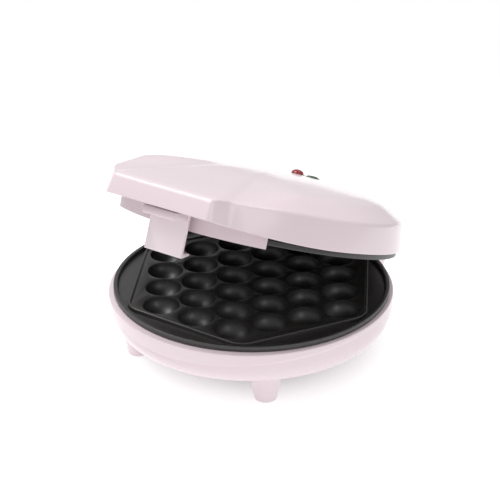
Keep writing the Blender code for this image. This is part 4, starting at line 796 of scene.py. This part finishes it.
def build_plate(name, node, sign, offset, screw_holes, body, place):
    """A cooking plate with a rounded rim, a raised line round the cups and smooth round cups."""
    bm = bmesh.new()

    def level(depth):
        return offset + sign * depth

    def loop(points):
        return [bm.verts.new(point) for point in points]

    profile = turned_profile(
        [
            (SLAB_RADIUS, level(SLAB_DEPTH)),
            (SLAB_RADIUS, level(FLANGE_HEIGHT)),
            (PLATE_RADIUS, level(FLANGE_HEIGHT)),
            (PLATE_RADIUS, level(0)),
            (PLATE_RADIUS - RIM_WIDTHS[0], level(0)),
            (PLATE_RADIUS - RIM_WIDTHS[1], level(FLOOR_DEPTH)),
            (PLATE_RADIUS - RIM_WIDTHS[2], level(FLOOR_DEPTH)),
        ],
        RIM_SOFTNESS,
    )
    rim = [loop(circle(radius, height, PLATE_SIDES)) for radius, height in profile]
    skin_all(bm, rim)
    ridge = [loop(ridge_points(away, level(depth))) for away, depth in RIDGE_LINE]
    skin_all(bm, ridge)
    floor_holes = [ridge[0]]
    back_holes = []
    if screw_holes:
        for centre in ring_places(LID_POST_REACH, LID_POST_ANGLES):
            hole = SHANK_RADIUS + GAP
            mouth = loop(circle(COUNTERSINK_RADIUS, level(FLOOR_DEPTH), HOLE_SIDES, centre))
            neck = loop(circle(hole, level(FLOOR_DEPTH + COUNTERSINK_DEPTH), HOLE_SIDES, centre))
            back = loop(circle(hole, level(SLAB_DEPTH), HOLE_SIDES, centre))
            skin_all(bm, [mouth, neck, back])
            floor_holes.append(mouth)
            back_holes.append(back)
    fill_sheet(bm, rim[-1], floor_holes)
    mouths = []
    for centre in cup_centres():
        rounds = [
            (CUP_RADIUS + CUP_LIP * CUP_LIP_OUT_SHARE, FIELD_DEPTH),
            (CUP_RADIUS + CUP_LIP * CUP_LIP_IN_SHARE, FIELD_DEPTH + CUP_LIP * CUP_LIP_DROP_SHARE),
        ]
        for band in range(1, CUP_BANDS + 1):
            lean = band / CUP_BANDS * math.pi / 2
            radius = CUP_RADIUS * math.cos(lean) if band < CUP_BANDS else 0
            rounds.append((radius, FIELD_DEPTH + CUP_DEPTH * math.sin(lean)))
        rings = [circle(radius, level(depth), ROUND_SIDES, centre) for radius, depth in rounds]
        loops = [loop(ring) for ring in rings]
        skin_all(bm, loops)
        mouths.append(loops[0])
        foot = loop(circle(BULGE_RADIUS, level(SLAB_DEPTH), BULGE_SIDES, centre))
        end = loop(circle(BULGE_END_RADIUS, level(CUP_END), BULGE_SIDES, centre))
        skin(bm, foot, end)
        bm.faces.new(end)
        back_holes.append(foot)
    fill_sheet(bm, ridge[-1], mouths)
    fill_sheet(bm, rim[0], back_holes)
    plate = finish_piece(name, bm, NON_STICK, place, PLATE_SHARP, weld=False)
    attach(plate, body)
    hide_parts(node)


# ---------------------------------------------------------------- lower housing
def band_weight(point):
    return ease(1 - math.atan2(abs(point.x), -point.y) / BAND_SPREAD)


def bowl_share(share):
    return 1 - (1 - share**BOWL_FULLNESS) ** (1 / BOWL_FULLNESS)


def build_lower_case():
    outer = housing_outline(BASE_RADIUS, nose=False, tail=True)
    plain = housing_outline(BASE_RADIUS, nose=False, tail=False)
    outer_in = inward(outer)
    deep_in = turned_slowly(outer_in, outer, BOWL_TURN)
    plain_in = inward(plain)
    lip = -FLANGE_HEIGHT - GAP
    seat = BASE_RADIUS - SLAB_RADIUS - 2 * GAP
    top = -SLAB_DEPTH - GAP
    floor = -BASE_DEPTH + BASE_WALL
    steps = range(1, BOWL_STEPS + 1)
    shares = [math.sin(math.pi / 2 * step / BOWL_STEPS) for step in steps]
    columns = []
    for index, point in enumerate(outer):
        weight = band_weight(point)
        proud = -BAND_PROUD * weight
        tucked = BAND_UNDERCUT * weight + proud + GAP
        band_low = lip - BAND_SIDE_DEPTH - (BAND_FRONT_DEPTH - BAND_SIDE_DEPTH) * weight
        under = band_low - BAND_SLOPE

        def at(distance, height, base=point, away=outer_in[index], deep=deep_in[index]):
            share = ease(distance / BOWL_ROUND)
            facing = (away * (1 - share) + deep * share).normalized()
            return raised(base + facing * distance, height)

        def inside(distance, height, base=plain[index], away=plain_in[index]):
            return raised(base + away * distance, height)

        start_z = under + (-BASE_DEPTH - under) * shares[0]
        column = soft_profile(
            [
                inside(seat, top),
                inside(seat, lip),
                at(proud, lip),
                at(proud, band_low),
                at(tucked, under),
                at(tucked * (1 - shares[0]) + BOWL_ROUND * bowl_share(shares[0]), start_z),
            ],
            BAND_SOFTNESS,
        )
        for share in shares[1:]:
            distance = tucked * (1 - share) + BOWL_ROUND * bowl_share(share)
            column.append(at(distance, under + (-BASE_DEPTH - under) * share))
        rim_point = column[-1]
        for share in BOTTOM_SHARES:
            column.append(Vector((rim_point.x * share, rim_point.y * share, -BASE_DEPTH)))
        inner = []
        for share in WELL_SHARES:
            distance = seat + (BOWL_ROUND - seat / 2) * bowl_share(share)
            inner.append(inside(distance, top + (floor - top) * share))
        columns.append(list(reversed(inner)) + column)
    rings = [[(0, 0, floor)]] + list(zip(*columns)) + [[(0, 0, -BASE_DEPTH)]]
    bm = bmesh.new()
    add_rings(bm, rings)
    case = finish_piece("lower_case", bm, PINK, Matrix(), CASE_SHARP, weld=False)

    added = bmesh.new()
    buried = floor + FOOT_ROOT
    for x in (-FOOT_SIDE, FOOT_SIDE):
        for y in (-FOOT_FRONT, FOOT_FRONT):
            end = -FOOT_HEIGHT + PAD_PROUD
            socket = PAD_RADIUS + GAP
            profile = turned_profile(
                [
                    (0, buried),
                    (FOOT_TOP_RADIUS, buried),
                    (FOOT_END_RADIUS + FOOT_EDGE, end + FOOT_EDGE),
                    (FOOT_END_RADIUS - FOOT_EDGE, end),
                    (socket, end),
                    (socket, end + PAD_SOCKET),
                    (0, end + PAD_SOCKET),
                ],
                FOOT_SOFTNESS,
            )
            add_turned(added, profile, FOOT_SIDES, (x, y))
    for side in (-1, 1):
        inner = side * (KNUCKLE_INNER + KNUCKLE_WIDTH + GAP)
        add_lug(added, inner, inner + side * TOWER_WIDTH, HINGE, HINGE.z - 2 * HINGE_EYE)
    combine(case, added, "UNION")

    cut = bmesh.new()
    for centre in ring_places(STUD_REACH, STUD_ANGLES):
        top_z = -BASE_DEPTH + COUNTERBORE_DEPTH
        profile = [(0, -BASE_DEPTH - OVERRUN), (COUNTERBORE_RADIUS, -BASE_DEPTH - OVERRUN)]
        profile += [(COUNTERBORE_RADIUS, top_z - COUNTERBORE_TRIM), (0, top_z - COUNTERBORE_TRIM)]
        add_turned(cut, profile, BORE_SIDES, centre)
    swing = HINGE_EYE + 2 * GAP
    for side in (-1, 1):
        inner = side * (KNUCKLE_INNER - SLOT_MARGIN)
        outer_x = side * (KNUCKLE_INNER + KNUCKLE_WIDTH + GAP)
        low_x, high_x = sorted((inner, outer_x))
        low = (low_x, HINGE.y - swing, HINGE.z - swing)
        add_block(cut, low, (high_x, TAIL_BACK + OVERRUN, OVERRUN))
    rings = []
    for y in (SLAB_RADIUS - OVERRUN, TAIL_BACK + OVERRUN):
        hole = hole_points(GLAND_RADIUS + GAP, ROUND_SIDES, (0, 0))
        rings.append([(x, y, z - GLAND_DROP) for x, z in hole])
    add_rings(cut, rings)
    combine(case, cut, "DIFFERENCE")
    bores = bmesh.new()
    bore = HINGE_PIN + GAP
    pocket = PIN_HEAD_RADIUS + GAP
    seat_x = KNUCKLE_INNER + KNUCKLE_WIDTH + GAP + TOWER_WIDTH
    end_x = TAIL_HALF_WIDTH + OVERRUN
    near_x = KNUCKLE_INNER - 3 * SLOT_MARGIN
    stations = [(near_x, 0), (near_x, bore), (seat_x, bore)]
    stations += [(seat_x, pocket), (end_x, pocket), (end_x, 0)]
    for side in (-1, 1):
        add_turned_sideways(bores, stations, side, BORE_SIDES, HINGE)
    combine(case, bores, "DIFFERENCE")
    case.data.transform(BASE_PLACE)
    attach(case, "base")
    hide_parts("lower_housing")


def add_lug(bm, inner, outer, axis, height):
    upwards = height > axis.z
    turns = []
    for step in range(LUG_STEPS + 1):
        angle = math.pi * step / LUG_STEPS
        turns.append(angle + math.pi if upwards else angle)
    points = [(axis.y + HINGE_EYE * math.cos(t), axis.z + HINGE_EYE * math.sin(t)) for t in turns]
    points += [(points[-1][0], height), (points[0][0], height)]
    add_rings(bm, [[(x, y, z) for y, z in points] for x in (inner, outer)])


# ---------------------------------------------------------------- lid
def lid_columns(outline, plain, wall):
    """For each place on the outline, the lid's line from its lower edge to its middle."""
    columns = []
    for point, top, away in zip(outline, plain, inward(outline)):
        weight = ease((-top.y - NOSE_START) / (NOSE_FULL - NOSE_START))

        def at(distance, height, base=point, away=away):
            return raised(base + away * distance, height)

        def blend(side, front, weight=weight):
            return side + (front - side) * weight

        def drawn(distance, height, base=top):
            return raised(base * (1 - (distance + wall / 2) / base.length), height - wall)

        def shared(share, height, base=top):
            return raised(base * share, height - wall)

        edge = at(wall, lid_edge_height(point.y))
        crease = at(LID_DRAFT + CREASE_TUCK + wall / 2, crease_height(point.y) - wall)
        distance = blend(SHOULDER_INSET, SHOULDER_FRONT_INSET)
        shoulder = drawn(distance, blend(SHOULDER_HEIGHT, CREASE_HEIGHT + SHOULDER_FRONT_RISE))
        distance += blend(SHOULDER_WIDTH, SHOULDER_FRONT_WIDTH)
        front_top = CREASE_HEIGHT + SHOULDER_TOP_FRONT_RISE
        shoulder_top = drawn(distance, blend(SHOULDER_TOP, front_top))
        crown_edge = shared(CROWN_EDGE_SHARE, CROWN_EDGE_HEIGHT - CROWN_EDGE_FRONT_DROP * weight)
        crown = shared(CROWN_SHARE, CROWN_HEIGHT)
        middle = Vector((0, 0, CROWN_TOP - wall))
        beyond = Vector((-crown.x, -crown.y, crown.z))
        start = soft_profile([edge, crease, shoulder], CREASE_SOFTNESS, CREASE_STEPS)[:-1]
        line = start[-2:] + [shoulder, shoulder_top, crown_edge, crown, middle, beyond]
        columns.append(start + spline(line, TOP_STEPS)[TOP_STEPS : -2 * TOP_STEPS])
    return columns


def build_lid_case():
    outline = housing_outline(LID_RADIUS, nose=True, tail=True)
    plain = housing_outline(LID_RADIUS, nose=True, tail=False)
    outer = lid_columns(outline, plain, 0)
    inner = lid_columns(plain, plain, LID_WALL)
    columns = []
    for index in range(len(outline)):
        lip = [inner[index][0], outer[index][0], outer[index][1]]
        lip = soft_profile([inner[index][1]] + lip, LID_LIP_SOFTNESS, PROFILE_STEPS)[1:-1]
        columns.append(list(reversed(inner[index][1:])) + lip + outer[index][1:])
    rings = [[(0, 0, CROWN_TOP - LID_WALL)]] + list(zip(*columns)) + [[(0, 0, CROWN_TOP)]]
    bm = bmesh.new()
    add_rings(bm, rings)
    lid = finish_piece("lid_case", bm, PINK, Matrix(), LID_SHARP, weld=False)
    added = bmesh.new()
    for side in (-1, 1):
        inner_x = side * KNUCKLE_INNER
        add_lug(added, inner_x, inner_x + side * KNUCKLE_WIDTH, HINGE, LID_SIDE_EDGE + HINGE_EYE)
    combine(lid, added, "UNION", LID_SHARP)
    cut = bmesh.new()
    for side in (-1, 1):
        stations = [(KNUCKLE_INNER - OVERRUN, 0), (KNUCKLE_INNER - OVERRUN, HINGE_PIN + GAP)]
        end = KNUCKLE_INNER + KNUCKLE_WIDTH + OVERRUN
        stations += [(end, HINGE_PIN + GAP), (end, 0)]
        add_turned_sideways(cut, stations, side, BORE_SIDES, HINGE)
        socket = LENS_RADIUS + GAP
        rebate = LENS_FLANGE + GAP
        seat = LENS_SEAT + LENS_RISE
        high = CROWN_TOP + OVERRUN
        profile = [(0, seat - 2 * OVERRUN), (socket, seat - 2 * OVERRUN), (socket, seat)]
        profile += [(rebate, seat), (rebate, high), (0, high)]
        add_turned(cut, profile, FINE_SIDES, (side * LAMP_SIDE, LAMP_BACK))
    combine(lid, cut, "DIFFERENCE", LID_SHARP)
    lid.data.transform(LID_PLACE)
    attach(lid, "lid")
    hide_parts("upper_housing")


def build_nose_cover():
    inner = SKIRT_RADIUS
    outline = housing_outline(LID_RADIUS, nose=True, tail=False)
    edge = []
    for point, away in zip(outline, inward(outline)):
        moved = point + away * (LID_WALL + COVER_PLAY)
        if moved.y < 0 and moved.length > inner + SKIRT_WALL:
            edge.append(moved)
    edge.sort(key=lambda point: point.x)
    spread = math.atan2(edge[-1].x, -edge[-1].y)
    arc = [spread - 2 * spread * step / ARC_STEPS for step in range(ARC_STEPS + 1)]
    back = ring_places(inner + SKIRT_WALL / 2, arc)
    front = [(point.x, point.y) for point in edge]
    half = LATCH_WIDTH / 2 + LATCH_WINDOW_MARGIN
    window = [
        (-half, -TAB_FRONT - TAB_SWING),
        (half, -TAB_FRONT - TAB_SWING),
        (half, LATCH_PIVOT.y + LATCH_BARREL + GAP),
        (-half, LATCH_PIVOT.y + LATCH_BARREL + GAP),
    ]
    holes = [window]
    for side in (-1, 1):
        place = (side * NOSE_POST_SIDE, -NOSE_POST_FRONT)
        holes.append(hole_points(SHANK_RADIUS + GAP, HOLE_SIDES, place))
    bm = bmesh.new()
    add_sheet(bm, front + back, holes, NOSE_FLOOR_LOW, NOSE_FLOOR_TOP)
    cover = finish_piece("nose_floor", bm, PINK, Matrix(), weld=False)
    added = bmesh.new()
    spread = SKIRT_SPREAD
    arc = [spread - 2 * spread * step / ARC_STEPS for step in range(ARC_STEPS + 1)]
    skirt = ring_places(inner, arc) + ring_places(inner + SKIRT_WALL, reversed(arc))
    add_sheet(added, skirt, [], SKIRT_LOW, NOSE_FLOOR_TOP + GAP)
    for side in (-1, 1):
        near = side * (half + GAP)
        far = near + side * LATCH_EAR_SHEET
        turns = [math.pi * step / EAR_STEPS for step in range(EAR_STEPS + 1)]
        points = [(LATCH_EAR_HALF * math.cos(t), LATCH_EAR_HALF * math.sin(t)) for t in turns]
        points = [(LATCH_PIVOT.y + y, LATCH_PIVOT.z + z) for y, z in points]
        foot = (NOSE_FLOOR_LOW + NOSE_FLOOR_TOP) / 2
        points += [(points[-1][0], foot), (points[0][0], foot)]
        add_rings(added, [[(x, y, z) for y, z in points] for x in (near, far)])
    combine(cover, added, "UNION")
    soften(cover, COVER_EDGE)
    cover.data.transform(LID_PLACE)
    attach(cover, "lid")
    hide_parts("nose_cover")


def build_latch():
    """The latch plate with its barrel, finger tab and hook."""
    pivot = LATCH_PIVOT
    band_low = -FLANGE_HEIGHT - GAP - BAND_FRONT_DEPTH - BAND_SLOPE
    half = LATCH_WIDTH / 2
    back = pivot.y + LATCH_SHEET / 2
    front = pivot.y - LATCH_SHEET / 2
    hook_top = band_low - LATCH_HOOK_PLAY
    hook_low = hook_top - LATCH_HOOK_HEIGHT
    hook_end = -(BASE_RADIUS + BAND_PROUD) + LATCH_HOOK_BITE
    tab_top = lid_edge_height(-TAB_FRONT) - TAB_DROP
    tab_low = tab_top - TAB_HEIGHT
    plate = bmesh.new()
    profile = [
        (front, pivot.z),
        (back, pivot.z),
        (back, hook_top),
        (hook_end, hook_top),
        (hook_end, hook_top - LATCH_HOOK_TIP),
        (back, hook_low),
        (front, hook_low),
    ]
    add_rings(plate, [[(x, y, z) for y, z in profile] for x in (-half, half)])
    latch = finish_piece("latch_plate", plate, PINK, Matrix(), weld=False)
    tab = bmesh.new()
    add_block(tab, (-TAB_WIDTH / 2, -TAB_FRONT, tab_low), (TAB_WIDTH / 2, pivot.y, tab_top))
    combine(latch, tab, "UNION")
    soften(latch, LATCH_EDGE)
    barrel = bmesh.new()
    stations = [(-half, 0), (-half, LATCH_BARREL), (half, LATCH_BARREL), (half, 0)]
    add_turned_sideways(barrel, stations, 1, ROUND_SIDES, pivot)
    combine(latch, barrel, "UNION")
    cut = bmesh.new()
    stations = [(-half - OVERRUN, 0), (-half - OVERRUN, LATCH_PIN + GAP)]
    stations += [(half + OVERRUN, LATCH_PIN + GAP), (half + OVERRUN, 0)]
    add_turned_sideways(cut, stations, 1, HOLE_SIDES, pivot)
    combine(latch, cut, "DIFFERENCE")
    notch = bmesh.new()
    add_block(notch, pivot - NOTCH_HALF, pivot + NOTCH_HALF)
    combine(latch, notch, "DIFFERENCE")
    latch.data.transform(LID_PLACE)
    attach(latch, "latch")
    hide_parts("latch")


# ---------------------------------------------------------------- small pieces
def build_lenses():
    kinds = (("power", -1, RED_LENS, LENS_DOME), ("ready", 1, GREEN_LENS, LENS_LOW_DOME))
    for name, side, material, dome in kinds:
        flange = LENS_SEAT + GAP + LENS_RISE
        crown = flange + LENS_FLANGE_SHEET
        profile = turned_profile(
            [
                (0, flange - LENS_SOCKET),
                (LENS_RADIUS, flange - LENS_SOCKET),
                (LENS_RADIUS, flange),
                (LENS_FLANGE, flange),
                (LENS_FLANGE, crown),
                (LENS_RADIUS, crown),
            ],
            LENS_SOFTNESS,
        )
        for step in range(1, DOME_STEPS):
            lean = step / DOME_STEPS * math.pi / 2
            profile.append((LENS_RADIUS * math.cos(lean), crown + dome * math.sin(lean)))
        profile.append((0, crown + dome))
        bm = bmesh.new()
        add_turned(bm, profile, FINE_SIDES, (side * LAMP_SIDE, LAMP_BACK))
        lens = finish_piece(name + "_lens_cap", bm, material, LID_PLACE, PLATE_SHARP)
        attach(lens, "lid")
        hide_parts(name + "_lens")


def cross_screw(name, node, centre, head, seat, tip, body, place, flat_head=False):
    """A fine screw with a cross recess in its head."""
    sign = 1 if head > seat else -1
    if flat_head:
        profile = [(0, head), (COUNTERSINK_RADIUS - GAP, head), (SHANK_RADIUS, seat)]
    else:
        corner = head - sign * HEAD_HEIGHT * HEAD_ROUND_SHARE
        profile = [(0, head), (HEAD_RADIUS * HEAD_FLAT_SHARE, head)]
        profile += [(HEAD_RADIUS, corner), (HEAD_RADIUS, seat), (SHANK_RADIUS, seat)]
    for step in range(THREAD_TURNS * 2):
        share = step / (THREAD_TURNS * 2)
        reach = SHANK_RADIUS * (1.0 if step % 2 else THREAD_ROOT_SHARE)
        along = THREAD_START_SHARE + THREAD_LENGTH_SHARE * share
        profile.append((reach, seat + (tip - seat) * along))
    profile.append((0, tip))
    bm = bmesh.new()
    add_turned(bm, profile, BORE_SIDES, centre)
    screw = finish_piece(name, bm, STEEL, Matrix(), SCREW_SHARP)
    ends = sorted((head - sign * RECESS_DEPTH, head + sign * OVERRUN))
    for wide, deep in RECESS_ARMS:
        cut = bmesh.new()
        low = (centre[0] - wide, centre[1] - deep, ends[0])
        add_block(cut, low, (centre[0] + wide, centre[1] + deep, ends[1]))
        combine(screw, cut, "DIFFERENCE", SCREW_SHARP)
    screw.data.transform(place)
    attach(screw, body)
    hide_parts(node)


def build_screws():
    seat = -BASE_DEPTH + COUNTERBORE_DEPTH - GAP
    tip = STUD_END + SCREW_BITE
    for number, centre in enumerate(ring_places(STUD_REACH, STUD_ANGLES), 1):
        name = "lower_plate_screw_" + str(number)
        cross_screw(name + "_fine", name, centre, seat - HEAD_HEIGHT, seat, tip, "base", BASE_PLACE)
    for number, centre in enumerate(ring_places(LID_POST_REACH, LID_POST_ANGLES), 1):
        face = PLATE_GAP + FLOOR_DEPTH
        neck = face + COUNTERSINK_DEPTH
        name = "upper_plate_screw_" + str(number)
        end = PLATE_GAP + SLAB_DEPTH + SCREW_BITE
        cross_screw(name + "_fine", name, centre, face, neck, end, "lid", LID_PLACE, flat_head=True)
    for number, side in enumerate((-1, 1), 1):
        seat = NOSE_FLOOR_LOW - GAP
        name = "nose_screw_" + str(number)
        centre = (side * NOSE_POST_SIDE, -NOSE_POST_FRONT)
        end = NOSE_FLOOR_TOP + NOSE_SCREW_BITE
        cross_screw(name + "_fine", name, centre, seat - HEAD_HEIGHT, seat, end, "lid", LID_PLACE)


def build_foot_pads():
    number = 0
    for y in (-FOOT_FRONT, FOOT_FRONT):
        for x in (-FOOT_SIDE, FOOT_SIDE):
            number += 1
            low = -FOOT_HEIGHT
            top = low + PAD_PROUD + PAD_SOCKET - GAP
            profile = turned_profile(
                [(0, low), (PAD_RADIUS, low), (PAD_RADIUS, top), (0, top)], PAD_SOFTNESS
            )
            bm = bmesh.new()
            add_turned(bm, profile, FINE_SIDES, (x, y))
            node = "foot_pad_" + str(number)
            pad = finish_piece(node + "_round", bm, GREY_RUBBER, BASE_PLACE)
            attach(pad, "base")
            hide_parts(node)


def build_gland():
    outer = TAIL_BACK + GAP
    line = [
        (outer - GLAND_LENGTH, GLAND_RADIUS),
        (outer, GLAND_RADIUS),
        (outer, GLAND_FLANGE),
        (outer + GLAND_FLANGE_LENGTH, GLAND_FLANGE - GAP),
        (outer + GLAND_FLANGE_LENGTH, GLAND_BORE),
        (outer - GLAND_LENGTH, GLAND_BORE),
    ]
    points = [(y, radius, 0) for y, radius in line]
    line = soft_profile(points, GLAND_SOFTNESS, PROFILE_STEPS)
    rings = []
    for station in line:
        ring = hole_points(station.y, FINE_SIDES, (0, 0))
        rings.append([(x, station.x, z - GLAND_DROP) for x, z in ring])
    bm = bmesh.new()
    add_rings(bm, rings, closed=True)
    gland = finish_piece("cord_bush", bm, BLACK_RUBBER, BASE_PLACE)
    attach(gland, "base")
    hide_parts("cord_gland")


# ---------------------------------------------------------------- light, floor and camera
def build_stage():
    """A pale floor that glows, also onto the object, with a contact shade painted in it."""
    mesh = bpy.data.meshes.new("floor")
    reach = FLOOR_REACH
    corners = [(-reach, -reach, 0), (reach, -reach, 0), (reach, reach, 0), (-reach, reach, 0)]
    mesh.from_pydata(corners, [], [(0, 1, 2, 3)])
    floor = new_object("floor", mesh)
    material, tree, shader = new_material("pale_floor", (0.50, 0.50, 0.50), 0.9)
    shader.inputs["Specular IOR Level"].default_value = 0.1
    cloud = object_noise(tree, 3.0, 2.0)
    vary_colour(tree, shader, cloud, (0.495, 0.495, 0.495), (0.505, 0.505, 0.505))
    output = tree.nodes["Material Output"]
    glow = add_node(tree, "ShaderNodeEmission")
    glow.inputs["Color"].default_value = (1, 1, 1, 1)
    place = add_node(tree, "ShaderNodeTexCoord")
    away = add_node(tree, "ShaderNodeVectorMath", operation="LENGTH")
    tree.links.new(place.outputs["Object"], away.inputs[0])
    # Painted contact shade: the glow is dimmed near the floor's middle, under the object
    contact = add_node(tree, "ShaderNodeMapRange", interpolation_type="SMOOTHSTEP")
    for slot, value in zip(("From Min", "From Max", "To Min", "To Max"), SHADE_REACH + SHADE_GLOW):
        contact.inputs[slot].default_value = value
    tree.links.new(away.outputs["Value"], contact.inputs["Value"])
    tree.links.new(contact.outputs["Result"], glow.inputs["Strength"])
    total = add_node(tree, "ShaderNodeAddShader")
    tree.links.new(shader.outputs["BSDF"], total.inputs[0])
    tree.links.new(glow.outputs["Emission"], total.inputs[1])
    tree.links.new(total.outputs["Shader"], output.inputs["Surface"])
    mesh.materials.append(material)


def build_world():
    world = bpy.data.worlds.new("studio")
    bpy.context.scene.world = world
    world.use_nodes = True
    tree = world.node_tree
    shown = tree.nodes["Background"]
    shown.inputs["Color"].default_value = (1, 1, 1, 1)
    shown.inputs["Strength"].default_value = 1.0
    light = add_node(tree, "ShaderNodeBackground")
    light.inputs["Color"].default_value = (1.0, 0.99, 0.985, 1)
    light.inputs["Strength"].default_value = WORLD_STRENGTH
    path = add_node(tree, "ShaderNodeLightPath")
    mix = add_node(tree, "ShaderNodeMixShader")
    tree.links.new(path.outputs["Is Camera Ray"], mix.inputs["Fac"])
    tree.links.new(light.outputs["Background"], mix.inputs[1])
    tree.links.new(shown.outputs["Background"], mix.inputs[2])
    tree.links.new(mix.outputs["Shader"], tree.nodes["World Output"].inputs["Surface"])


def add_lamp(name, place, target, size, power):
    lamp = bpy.data.lights.new(name, "AREA")
    lamp.shape = "RECTANGLE"
    lamp.size, lamp.size_y = size
    lamp.energy = power
    item = new_object(name, lamp)
    item.location = place
    facing = Vector(target) - Vector(place)
    item.rotation_euler = facing.to_track_quat("-Z", "Y").to_euler()


def build_lights():
    for lamp in LAMPS:
        add_lamp(*lamp)


def build_camera():
    turn = CAMERA_TURN
    rise = CAMERA_RISE
    level = math.cos(rise)
    back = Vector((math.sin(turn) * level, -math.cos(turn) * level, math.sin(rise)))
    right = Vector((math.cos(turn), math.sin(turn), 0))
    up = back.cross(right)
    place = SHIFT + back * CAMERA_DISTANCE
    camera = bpy.data.cameras.new("camera")
    item = new_object("camera", camera)
    basis = Matrix((right, up, back)).transposed().to_4x4()
    item.matrix_world = Matrix.Translation(place) @ basis
    camera.sensor_width = SENSOR_WIDTH
    camera.lens = FOCAL_PIXELS / PHOTO_SIZE * SENSOR_WIDTH
    camera.shift_x = (PHOTO_SIZE / 2 - RIM_PIXEL[0]) / PHOTO_SIZE
    camera.shift_y = (RIM_PIXEL[1] - PHOTO_SIZE / 2) / PHOTO_SIZE
    camera.clip_end = CAMERA_FAR
    bpy.context.scene.camera = item


def main():
    scene = bpy.context.scene
    scene.view_settings.view_transform = "Standard"
    dress_nodes()
    build_plate("lower_grill", "lower_plate", -1, 0, False, "base", BASE_PLACE)
    build_plate("upper_grill", "upper_plate", 1, PLATE_GAP, True, "lid", LID_PLACE)
    build_lower_case()
    build_lid_case()
    build_nose_cover()
    build_latch()
    build_lenses()
    build_screws()
    build_foot_pads()
    build_gland()
    build_stage()
    build_world()
    build_lights()
    build_camera()


main()
